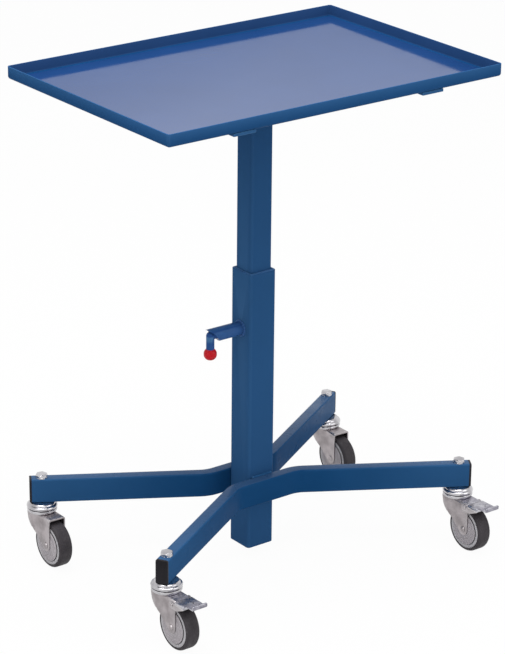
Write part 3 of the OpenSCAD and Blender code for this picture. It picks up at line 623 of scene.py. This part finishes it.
def make_leg(node, name, side):
    line_y = post_y + side * leg_offset
    clear_selection()
    bpy.ops.mesh.primitive_plane_add(size=1, location=(0, line_y, leg_middle_z),
                                     rotation=(0, quarter_turn, 0))
    leg = name_piece(name)
    edit(leg, "VERT")
    bpy.ops.transform.resize(value=(1, leg_width, leg_height), center_override=(0, line_y, leg_middle_z))
    bpy.ops.mesh.bevel(offset=leg_corner, segments=6, affect="VERTICES")
    select_everything()
    bpy.ops.mesh.delete(type="ONLY_FACE")
    bpy.ops.mesh.select_mode(type="EDGE")
    select_everything()
    extrude(x=bend_start)
    bend_centre = (bend_start, line_y + side * leg_bend_radius, leg_middle_z)
    bpy.ops.mesh.spin(steps=12, angle=-side * leg_angle, center=bend_centre, axis=(0, 0, 1))
    reach = arm_run + leg_tail
    extrude(reach * math.cos(leg_angle), side * reach * math.sin(leg_angle))
    apply_modifier(leg, "MIRROR", use_axis=(True, False, False), merge_threshold=0.0001)
    thicken_inwards(leg, leg_wall)
    soften_edges(leg, 0.3 * mm, angle=60)
    hand_over(leg, node)
    # The upper faces of the leg take the paler copy: a painted highlight from above.
    paint_faces(leg, painted_highlight_top_coat, lambda centre, normal: normal.z > straight and centre.z > leg_middle_z)


make_leg("leg_front", "bent_leg_front", -1)
make_leg("leg_back", "bent_leg_back", 1)
print("Leg bends start at x =", round(bend_start, 4))

# %% [markdown]
# The ends of the legs are closed with black push-in caps. Only the flange shows, and its outer edges
# are rounded where it was moulded. It is made square to the X axis, then turned in line with its arm.

# %% Cap the legs
cap_flange, cap_plug, cap_gap = 3.5 * mm, 7 * mm, 0.2 * mm
for corner in corners:
    half = Vector((0, leg_width / 2, leg_height / 2))
    start = Vector((leg_tail, 0, 0))
    flange = add_block("cap_flange", start - half, start + half + Vector((cap_flange, 0, 0)))
    round_edges(flange, running(X), leg_corner, 6)
    round_edges(flange, lambda middle, along: middle.x > leg_tail + cap_flange - near, 0.9 * mm, 3)
    inner = half - Vector((0, leg_wall + cap_gap, leg_wall + cap_gap))
    plug = add_block("cap_plug", start - inner - Vector((cap_plug, 0, 0)), start + inner)
    soften_edges(plug, 0.8 * mm)
    cap = join_pieces("end_cap_" + corner, [flange, plug])
    x, y = swivel[corner].xy
    heading = math.atan2(math.copysign(math.sin(leg_angle), y - post_y),
                         math.copysign(math.cos(leg_angle), x))
    lay_on(cap, (x, y, leg_middle_z), (0, 0, math.degrees(heading)))
    hand_over(cap, "cap_" + corner)

# %% [markdown]
# The welds that hold the legs and the guide tube are beads of metal with a ripple for every drop. The
# lathe makes a straight bead from a profile whose radius rises and falls; the ring round the guide
# tube is a torus whose every third slice is drawn in.

# %% Lay the weld beads
def make_bead(name, length, radius):
    drop, narrow, wide, tip = 1.3 * mm, radius * 0.9, radius * 1.06, radius * 0.45
    rings = int(length / drop) + 1
    profile = [(narrow if step % 2 else wide, -length / 2 + length * (step + 0.5) / rings)
               for step in range(rings)]
    return turn_on_lathe(name, [(tip, -length / 2)] + profile + [(tip, length / 2)], sides=14)


bead_radius, bead_length = 2.6 * mm, 38 * mm
bead_out = (post_high.y - post_low.y) / 2 + 0.8 * mm
beads = [lay_on(make_bead("leg_bead", bead_length, bead_radius),
                (0, post_y + side * bead_out, level), along_x)
         for side in (-1, 1) for level in (leg_low.z, leg_high.z)]

guide_low, guide_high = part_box("lock_tube")
guide_radius = (guide_high.z - guide_low.z) / 2
ring_slices, ring_sides = 54, 12
clear_selection()
bpy.ops.mesh.primitive_torus_add(
    major_segments=ring_slices, minor_segments=ring_sides, major_radius=guide_radius + 0.6 * mm,
    minor_radius=2.3 * mm, location=(post_low.x - 0.3 * mm, post_y, lock_axis.z),
    rotation=(0, quarter_turn, 0))
ring_bead = name_piece("ring_bead")
choose(ring_bead, "VERT", lambda index, place: index // ring_sides % 3 == 0)
bpy.ops.transform.resize(value=(0.8, 0.975, 0.975), center_override=(post_low.x, post_y, lock_axis.z))
frame_beads = join_pieces("weld_beads_frame", beads + [ring_bead])
hand_over(frame_beads, "frame_welds", smooth=70)
# The weld ring at the lock takes the lighter copy: a painted highlight.
paint_faces(frame_beads, painted_light_for_lock, lambda centre, normal: centre.z > leg_high.z + 50 * mm)

# %% [markdown]
# ## The height lock
#
# A round guide tube stands on the post's left face. Its free end is cut at a slant, so that turning
# the bent bar makes it ride outwards and draws the pin. The tube is a cylinder cut with bisect
# and bored. The bar's bend is forged tight, so two rods and a ball are fused with Booleans.

# %% Guide tube and bent bar
slant_top, slant_bottom = guide_low.x + 2 * mm, guide_low.x + 20 * mm
bar_radius = pin_radius + 0.5 * mm
guide = add_cylinder("slanted_guide_tube", 64, guide_radius, guide_high.x - guide_low.x,
                     ((guide_low.x + guide_high.x) / 2, post_y, lock_axis.z), quarter_turn)
edit(guide, "FACE")
slant_middle = ((slant_top + slant_bottom) / 2, post_y, lock_axis.z)
bpy.ops.mesh.bisect(plane_co=slant_middle, plane_no=(-2 * guide_radius, 0, slant_top - slant_bottom),
                    use_fill=True, clear_outer=True)
collar_low, collar_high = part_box("lock_collar")
bore_radius, chamber_radius = bar_radius + 0.3 * mm, (collar_high.z - collar_low.z) / 2 + 0.25 * mm
bore_start = guide_low.x - 1 * mm
chamber_start, bore_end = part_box("lock_spring")[0].x - bore_start, guide_high.x + 1 * mm - bore_start
bore = turn_on_lathe("bore", [(bore_radius, 0), (bore_radius, chamber_start),
                              (chamber_radius, chamber_start), (chamber_radius, bore_end)])
combine(guide, lay_on(bore, (bore_start, post_y, lock_axis.z), along_x))
soften_edges(guide, 0.4 * mm, angle=35)
# The guide tube takes the lighter copy: painted light on its round upper side.
hand_over(guide, "lock_tube", material=painted_light_for_lock)

bar_low, bar_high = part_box("lock_handle")
bar_x = bar_low.x + pin_radius
bar_length, grip_length = bar_high.x - bar_x, lock_axis.z - bar_low.z
bar = turn_on_lathe("bent_lock_bar", [(bar_radius, bar_length * step / 8) for step in range(9)], sides=48)
lay_on(bar, (bar_x, post_y, lock_axis.z), along_x)
grip = turn_on_lathe("grip", [(bar_radius, grip_length * step / 6) for step in range(7)], sides=48)
lay_on(grip, (bar_x, post_y, bar_low.z))
clear_selection()
bpy.ops.mesh.primitive_uv_sphere_add(segments=48, ring_count=24, radius=bar_radius * 1.02,
                                     location=(bar_x, post_y, lock_axis.z))
elbow = name_piece("elbow")
combine(bar, grip, "UNION")
combine(bar, elbow, "UNION")
soften_edges(bar, 0.8 * mm, angle=60)
# The bar takes the lighter copy: painted light on its round upper side.
hand_over(bar, "lock_handle", material=painted_light_for_lock)

# %% [markdown]
# The red knob is moulded: nearly a ball, a little fuller than one at the shoulders, with a fine
# parting line round its waist. Its profile is a circle whose sides are pushed out.

# %% The red knob
knob_low, knob_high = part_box("lock_knob")
knob_radius, knob_half = (knob_high.x - knob_low.x) / 2, (knob_high.z - knob_low.z) / 2
steps_each_way, degrees_a_step, fullness = 11, 90 / 11.6, 0.85
angles = [math.radians(step * degrees_a_step) for step in range(-steps_each_way, steps_each_way + 1)]
knob_profile = [
    (knob_radius * math.cos(angle) ** fullness, knob_half * math.sin(angle) / math.sin(angles[-1]))
    for angle in angles]
knob_profile[steps_each_way] = (knob_radius - 0.25 * mm, 0)
knob = turn_on_lathe("red_knob", knob_profile, sides=72)
lay_on(knob, (bar_x, post_y, (knob_low.z + knob_high.z) / 2))
hand_over(knob, "lock_knob", smooth=60)

# %% [markdown]
# ## The casters
#
# The four casters are the same apart from the pedals on the front two, so each piece is modelled once
# at the front left corner and copied to the others. The swivel head comes first: a pressed cup with a
# low dome, which stays still under the leg, and below a dark gap the ring that turns with the fork.

# %% Swivel rings
first = swivel["front_left"]


def share_out(piece, name, node, **details):
    """Hands over a piece at the first corner and copies of it at the others."""
    twins = [copy_piece(piece, name + "_" + corner, swivel[corner] - first) for corner in corners[1:]]
    piece.name = piece.data.name = name + "_" + corners[0]
    for corner, twin in zip(corners, [piece] + twins):
        hand_over(twin, node + "_" + corner, **details)


head_low, head_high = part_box("head_front_left")
ring_radius = (head_high.x - head_low.x) / 2
upper_low, upper_top = 90.5 * mm, 96 * mm
sleeve_bore, sleeve_radius, dome_radius = 5.3 * mm, 8 * mm, 21 * mm
head_profile = (
    [(sleeve_bore, head_low.z)]
    + profile_points([(3, 0), (3, 3), (0, 3)], sleeve_radius, head_low.z)
    + [(sleeve_radius, upper_low)]
    + profile_points([(-1.6, 0), (-0.5, 0.6), (0, 1.8)], ring_radius, upper_low)
    + profile_points([(0, -2.6), (-0.6, -1.1), (-1.7, -0.3)], ring_radius, upper_top)
    + profile_points([(0.9, -0.15), (0.2, 0.25), (0, 0.9), (-0.3, 1.9), (-1.2, 3.0)],
                     dome_radius, upper_top)
    + profile_points([(-2.6, -0.25), (-4, 0)], dome_radius, head_high.z)
    + [(sleeve_bore, head_high.z)])
head = turn_on_lathe("swivel_head", head_profile, sides=72, closed=True)
share_out(lay_on(head, (*first.xy, 0)), "swivel_head", "head")

crown_z, lower_top = 84 * mm, 89.5 * mm
lower_radius = ring_radius - 0.5 * mm
lower_profile = (
    profile_points([(3, -0.5)], sleeve_radius, crown_z)
    + profile_points([(-3, -0.5), (-1.2, 0.2), (-0.3, 1.2), (0, 2.4)], lower_radius, crown_z)
    + profile_points([(0, -1.6), (-0.5, -0.5), (-1.6, 0)], lower_radius, lower_top)
    + profile_points([(3, 0)], sleeve_radius, lower_top))
lower_ring = turn_on_lathe("turning_ring", lower_profile, sides=72, closed=True)
share_out(lay_on(lower_ring, (*first.xy, 0)), "turning_ring", "fork", material=plated_steel,
          stands_for_node=False)

# %% [markdown]
# The fork is pressed from one sheet: two cheeks that taper back to the axle and a crown across them.
# Its side view has its own outline, so it is drawn as one flat face, pulled across to a block, rounded
# along the two folds, and hollowed with a Boolean block, which leaves the sheet. Towards the back the
# cheeks flare to meet the ring: each step cuts a line round the fork and widens what lies behind it.

# %% The fork
fork_low, fork_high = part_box("fork_front_left")
axle_place = joint_place["roll_front_left"]
fork_half, fork_sheet, outer_fold, foot_radius = 15.5 * mm, 2.25 * mm, 4 * mm, 9.5 * mm
cheek_back = [(18, 84), (17.5, 80), (15, 68.5), (11.2, 62.4), (6, 57), (0.5, 52.8), (-6, 48.5)]


def draw_outline(name, points):
    """One flat face at x = 0 through (y, z) points."""
    mesh = bpy.data.meshes.new(name)
    mesh.from_pydata([(0, y, z) for y, z in points], [], [list(range(len(points)))])
    piece = bpy.data.objects.new(name, mesh)
    bpy.context.collection.objects.link(piece)
    return piece


def pull_across(piece, low_x, width):
    """Moves a flat outline to x = low_x and pulls it along X into a block."""
    edit(piece, "FACE")
    bpy.ops.transform.translate(value=(low_x, 0, 0))
    extrude(x=width)
    turn_faces_outwards()
    clear_selection()


def cheek_outline():
    wheel_y, wheel_z = axle_place.y, axle_place.z
    outline = [(fork_low.y, wheel_z), (fork_low.y, crown_z)]
    outline += [(first.y + y * mm, z * mm) for y, z in cheek_back]
    gap_y, gap_z = outline[-1][0] - wheel_y, outline[-1][1] - wheel_z
    start = math.atan2(gap_z, gap_y) - math.acos(foot_radius / math.hypot(gap_y, gap_z))
    for step in range(14):
        angle = start - (start + math.pi) * step / 14
        outline.append((wheel_y + foot_radius * math.cos(angle), wheel_z + foot_radius * math.sin(angle)))
    return outline


fork = draw_outline("pressed_fork", cheek_outline())
pull_across(fork, first.x - fork_half, 2 * fork_half)
round_edges(fork, running(Y, crown_z - near), outer_fold, 5)
inner_half, inner_fold, overshoot = fork_half - fork_sheet, 2 * mm, 50 * mm
hollow = add_block("hollow", (first.x - inner_half, fork_low.y - overshoot, 0),
                   (first.x + inner_half, fork_high.y + overshoot, crown_z - 3 * mm))
round_edges(hollow, running(Y, crown_z - 4 * mm), inner_fold, 4)
combine(fork, hollow)
for fold, flare in ((-13, 1.02), (-5, 1.035), (5, 1.045)):
    edit(fork, "FACE")
    bpy.ops.mesh.bisect(plane_co=(first.x, first.y + fold * mm, crown_z), plane_no=(0, 1, 0))
    choose(fork, "VERT", lambda index, place: place.y > first.y + (fold + 0.1) * mm)
    bpy.ops.transform.resize(value=(flare, 1, 1), center_override=(first.x, first.y, crown_z))
soften_edges(fork, 0.4 * mm, angle=50)
share_out(fork, "pressed_fork", "fork")
for braked in (fork, bpy.data.objects["pressed_fork_front_right"]):
    paint_faces(braked, pedal_steel,
                lambda centre, normal: normal.z > straight and centre.z > crown_z - 1 * mm)

# %% [markdown]
# The wheel is three turned pieces: a dark tread with rounded shoulders, a light core whose rim shows
# as a ring, and a flat grey guard disc on each side that keeps thread out of the hub.

# %% Wheels
tread_outer, tread_inner, tread_half, shoulder = 37.5 * mm, 32.2 * mm, 12 * mm, 4.6 * mm
tread_profile = profile_points([(0, 0.2), (0.6, 0)], tread_inner, -tread_half)
for angle in (math.radians(15 * step) for step in range(7)):
    tread_profile.append((tread_outer - shoulder + shoulder * math.sin(angle),
                          -tread_half + shoulder - shoulder * math.cos(angle)))
one_side = len(tread_profile)
tread_profile += profile_points([(0, -0.35), (-0.12, -0.2), (-0.12, 0.2), (0, 0.35)], tread_outer)
tread_profile += [(radius, -height) for radius, height in reversed(tread_profile[:one_side])]
tread = turn_on_lathe("rubber_tread", tread_profile, sides=96, closed=True)
share_out(lay_on(tread, axle_place, along_x), "rubber_tread", "tyre")

rim_half, rim_inner = 11.8 * mm, 26.6 * mm
core_side = (
    profile_points([(4.05, 11.9), (9.4, 11.9), (10, 11.3), (11, 3)])
    + profile_points([(-1, 3)], rim_inner)
    + profile_points([(-0.2, -1.2), (0.5, -0.3), (1.2, 0)], rim_inner, rim_half)
    + profile_points([(-0.8, 0), (0, -0.5)], tread_inner, rim_half))
core_profile = [(radius, -height) for radius, height in core_side] + core_side[::-1]
core = turn_on_lathe("wheel_core", core_profile, sides=96, closed=True)
share_out(lay_on(core, axle_place, along_x), "wheel_core", "core", material=core_plastic)

guard_profile = profile_points([
    (4.1, 12.35), (26, 12.35), (26.2, 12.5), (26, 12.75), (24.6, 13.05), (22.8, 13.2), (20.5, 13.2),
    (20, 12.95), (16, 12.95), (15.5, 13.25), (4.1, 13.25)])
guards = [lay_on(turn_on_lathe("guard", guard_profile, sides=72, closed=True), axle_place, turn)
          for turn in (along_x, against_x)]
share_out(join_pieces("guard_discs", guards), "guard_discs", "guards")

# %% [markdown]
# The hardware is small but it catches the light: bolt heads on the legs, washers, the axle's nut and
# its domed head. A hexagon is a six-sided cylinder whose top edges are bevelled, as on real bolts.

# %% Bolts, washers and axles
def make_hexagon(name, across_flats, height, chamfer, both_ends=False):
    """A hexagon prism standing on z = 0 with a chamfered top."""
    piece = add_cylinder(name, 6, across_flats / math.sqrt(3), height, (0, 0, height / 2))
    choose(piece, "FACE", lambda centre, normal: (abs(normal.z) if both_ends else normal.z) > straight)
    bpy.ops.mesh.bevel(offset=chamfer, segments=1, affect="EDGES")
    soften_edges(piece, 0.25 * mm, angle=25)
    return piece


def make_rod(name, radius, length, chamfer):
    return turn_on_lathe(name, [(radius - chamfer, 0), (radius, chamfer), (radius, length - chamfer),
                                (radius - chamfer, length)], sides=32)


bolt_flats, bolt_radius, bolt_turn = 17 * mm, 5 * mm, 17
washer_profile = profile_points([(5.3, 0), (8.8, 0), (9, 0.2), (9, 0.8), (8.8, 1), (5.3, 1)])
bolts_low, bolts_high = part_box("caster_bolts")
washers_low, washers_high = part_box("caster_washers")
nut_low, nut_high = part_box("caster_nuts")
bolts, washers, nuts = [], [], []
for corner in corners:
    x, y = swivel[corner].xy
    hexagon = make_hexagon("bolt_head", bolt_flats, bolts_high.z - washers_high.z, 0.9 * mm)
    bolts.append(lay_on(hexagon, (x, y, washers_high.z), (0, 0, bolt_turn)))
    shank = make_rod("bolt_shank", bolt_radius, washers_high.z - bolts_low.z + 1 * mm, 1 * mm)
    bolts.append(lay_on(shank, (x, y, bolts_low.z)))
    washer = turn_on_lathe("washer", washer_profile, sides=56, closed=True)
    washers.append(lay_on(washer, (x, y, washers_low.z)))
    nut = make_hexagon("nut", bolt_flats, nut_high.z - nut_low.z, 0.8 * mm, both_ends=True)
    nuts.append(lay_on(nut, (x, y, nut_low.z)))
for kind, pieces in (("bolt", bolts), ("washer", washers), ("nut", nuts)):
    hand_over(join_pieces(f"caster_{kind}_set", pieces), f"caster_{kind}s")

axle_radius, axle_flats, axle_nut_height, thread_end = 4 * mm, 13 * mm, 6.5 * mm, 1 * mm
left_cheek, right_cheek = ((first.x + side * fork_half, *axle_place.yz) for side in (-1, 1))
axle_head = turn_on_lathe("axle_head", profile_points(
    [(4.9, 0), (5, 0.5), (4.7, 1.4), (4.0, 2.2), (2.8, 2.8), (1.2, 3)]), sides=48)
lay_on(axle_head, left_cheek, against_x)
axle_rod = make_rod("axle_rod", axle_radius, 2 * fork_half + axle_nut_height + thread_end, 0.6 * mm)
lay_on(axle_rod, left_cheek, along_x)
axle_nut = make_hexagon("axle_nut", axle_flats, axle_nut_height, 0.7 * mm)
lay_on(axle_nut, right_cheek, along_x)
share_out(join_pieces("axle_set", [axle_head, axle_rod, axle_nut]), "axle_set", "axle",
          material=pressed_steel)

# %% [markdown]
# ## The brake pedals
#
# A pedal is one pressing as well: a plate level with the fork's crown, a tongue that ends in a turned-up
# lip, a little to one side, and two cheeks folded down to the rivets. The plate is a block with rounded
# folds, the tongue is fused to it, and the cheeks are flat outlines that get a thickness.

# %% Pedals, pads and rivets
pedal_low, pedal_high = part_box("pedal_left")
pivot = joint_place["brake_left"]
pedal_sheet, pedal_half, pedal_fold = 1.5 * mm, (pedal_high.x - pedal_low.x) / 2, 3.4 * mm
lip_left, lip_right, lip_sheet, lip_corner = first.x - 11 * mm, first.x + 16 * mm, 2.5 * mm, 2 * mm
plate_near, plate_shoulder, plate_z = first.y - 44 * mm, first.y - 66 * mm, crown_z - 1 * mm
plate = add_block("pedal_plate", (first.x - pedal_half, plate_shoulder, plate_z - 3 * mm),
                  (first.x + pedal_half, plate_near, plate_z + pedal_sheet))
round_edges(plate, running(Y, plate_z), pedal_fold, 5)
tongue = add_block("pedal_tongue", (lip_left + 0.5 * mm, pedal_low.y + lip_sheet / 2, plate_z),
                   (lip_right - 0.5 * mm, plate_shoulder + 4 * mm, plate_z + pedal_sheet))
combine(plate, tongue, "UNION")
soften_edges(plate, 0.5 * mm)
combine(plate, add_cylinder("stud_hole", 24, 1.5 * mm, 20 * mm,
                            (first.x + 4.6 * mm, first.y - 62 * mm, plate_z)))

ear_radius = 6 * mm
cheek_top, cheek_corner = plate_z - 2.6 * mm, plate_z - 3.6 * mm
pedal_outline = [(pivot.y + ear_radius * math.sin(math.radians(20 * step)),
                  pivot.z - ear_radius * math.cos(math.radians(20 * step))) for step in range(10)]
pedal_outline += [(plate_near, cheek_top), (plate_shoulder, cheek_top), (plate_shoulder, cheek_corner),
                  (first.y - 48 * mm, 71 * mm)]
cheeks = []
for side in (-1, 1):
    cheek = draw_outline("pedal_cheek", pedal_outline)
    cheek_middle = first.x + side * (pedal_half - pedal_sheet / 2)
    pull_across(cheek, cheek_middle - pedal_sheet / 2, pedal_sheet)
    soften_edges(cheek, 0.35 * mm)
    cheeks.append(cheek)

lip = add_block("pedal_lip", (lip_left, pedal_low.y, plate_z + 0.4 * mm),
                (lip_right, pedal_low.y + lip_sheet, pedal_high.z))
round_edges(lip, running(Y), lip_corner, 5)
soften_edges(lip, 0.7 * mm, segments=3)
pedal = join_pieces("brake_pedal", [plate, lip] + cheeks)
pedal_right = copy_piece(pedal, "brake_pedal_right", swivel["front_right"] - first)
pedal.name = "brake_pedal_left"

rivet_profile = profile_points([(2.5, 0), (2.5, 4.35), (3.4, 4.35), (3.5, 4.6), (3.1, 5.0), (2.2, 5.15)])
rivet_start = 13.25 * mm
for pressing, hand in ((pedal, "left"), (pedal_right, "right")):
    hand_over(pressing, "pedal_" + hand, material=pedal_steel)
    paint_faces(pressing, pressed_steel, lambda centre, normal: centre.z < plate_z - 0.5 * mm)

for hand in ("left", "right"):
    pad_low, pad_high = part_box("pad_" + hand)
    pad = add_block("brake_pad_" + hand, pad_low, pad_high - Vector((0, 0, 0.5 * mm)))
    soften_edges(pad, 0.8 * mm, segments=3)
    hand_over(pad, "pad_" + hand)
    rivet_low, rivet_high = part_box("rivets_" + hand)
    middle_x = (rivet_low.x + rivet_high.x) / 2
    rivets = [lay_on(turn_on_lathe("rivet", rivet_profile, sides=36),
                     (middle_x + side * rivet_start, *pivot.yz), (0, side * 90, 0))
              for side in (-1, 1)]
    hand_over(join_pieces("pedal_rivets_" + hand, rivets), "rivets_" + hand, material=pressed_steel)

# %% [markdown]
# ## Floor, light and camera
#
# The photograph has a white ground and light from all around. A pale floor keeps a soft shadow; the
# camera sees it nearly white. The world lights the object evenly, and three large soft lamps above,
# in front and on the left model the tray, the legs and the casters.

# %% The floor
def seen_or_mirrored(holder):
    """1 for rays from the camera, a mirror or a clear body, and 0 for rays that only carry light."""
    rays = add_node(holder, "LightPath", {}).outputs
    result = rays["Is Camera Ray"]
    for kind in ("Is Glossy Ray", "Is Transmission Ray"):
        result = add_node(holder, "Math", {0: result, 1: rays[kind]}, operation="MAXIMUM").outputs[0]
    return result


floor_size, floor_grey, glow_share = 14, 0.65, 0.96
white = (1, 1, 1, 1)
clear_selection()
bpy.ops.mesh.primitive_plane_add(size=floor_size, location=(0, 0, 0))
floor = name_piece("studio_floor")
floor_material, floor_shader = start_material("pale_floor", [floor_grey] * 3, 0.8)
glow = add_node(floor_material, "Emission", {"Color": white})
share = add_node(floor_material, "Math", {0: seen_or_mirrored(floor_material), 1: glow_share},
                 operation="MULTIPLY")
blend = add_node(floor_material, "MixShader", {
    "Fac": share.outputs[0], 1: floor_shader.outputs["BSDF"], 2: glow.outputs["Emission"]})
floor_tree = floor_material.node_tree
floor_tree.links.new(blend.outputs["Shader"], floor_tree.nodes["Material Output"].inputs["Surface"])
floor.data.materials.append(floor_material)

# %% The world and the lamps
world = bpy.data.worlds.new("white_studio")
bpy.context.scene.world = world
world.use_nodes = True
background = world.node_tree.nodes["Background"]
background.inputs["Color"].default_value = white
level = add_node(world, "MapRange", {"Value": seen_or_mirrored(world), "To Min": 0.62, "To Max": 1.0})
world.node_tree.links.new(level.outputs["Result"], background.inputs["Strength"])


def add_lamp(name, place, power, size):
    clear_selection()
    bpy.ops.object.light_add(type="AREA", location=place)
    lamp = bpy.context.active_object
    lamp.name = name
    lamp.data.energy, lamp.data.size = power, size
    lamp.rotation_euler = (object_middle - Vector(place)).to_track_quat("-Z", "Y").to_euler()


object_middle = Vector((0, 0.02, 0.45))
add_lamp("overhead_softbox", (-0.3, -0.2, 3.0), 105, 2.4)
add_lamp("front_right_softbox", (1.6, -3.0, 1.7), 22, 2.0)
add_lamp("left_softbox", (-3.2, -0.8, 1.5), 10, 2.0)

# %% [markdown]
# The camera stands where the photographer's did: left of the front, a little above the tray, with a
# long lens. Its turn was worked out by matching the tray's corners and the casters, and it leans by
# half a degree.

# %% The camera
camera_place = Vector((-2.427, -3.205 + post_y, 1.974))
heading, dip, lean = math.radians(37.12), math.radians(21.57), math.radians(0.55)
focal_pixels, frame_height_pixels, sensor = 2765, 654, 36
ahead = Vector((math.sin(heading) * math.cos(dip), math.cos(heading) * math.cos(dip), -math.sin(dip)))
level_right = Vector((math.cos(heading), -math.sin(heading), 0))
level_up = level_right.cross(ahead)
right = math.cos(lean) * level_right + math.sin(lean) * level_up
up = math.cos(lean) * level_up - math.sin(lean) * level_right
clear_selection()
bpy.ops.object.camera_add(location=camera_place)
camera = bpy.context.active_object
camera.name = "photo_camera"
camera.data.sensor_width, camera.data.lens = sensor, focal_pixels / frame_height_pixels * sensor
camera.rotation_euler = Matrix((right, up, -ahead)).transposed().to_euler()
camera.data.clip_end = 100
bpy.context.scene.camera = camera
bpy.context.scene.view_settings.view_transform = "Standard"
print("Lens:", round(camera.data.lens, 1), "mm")
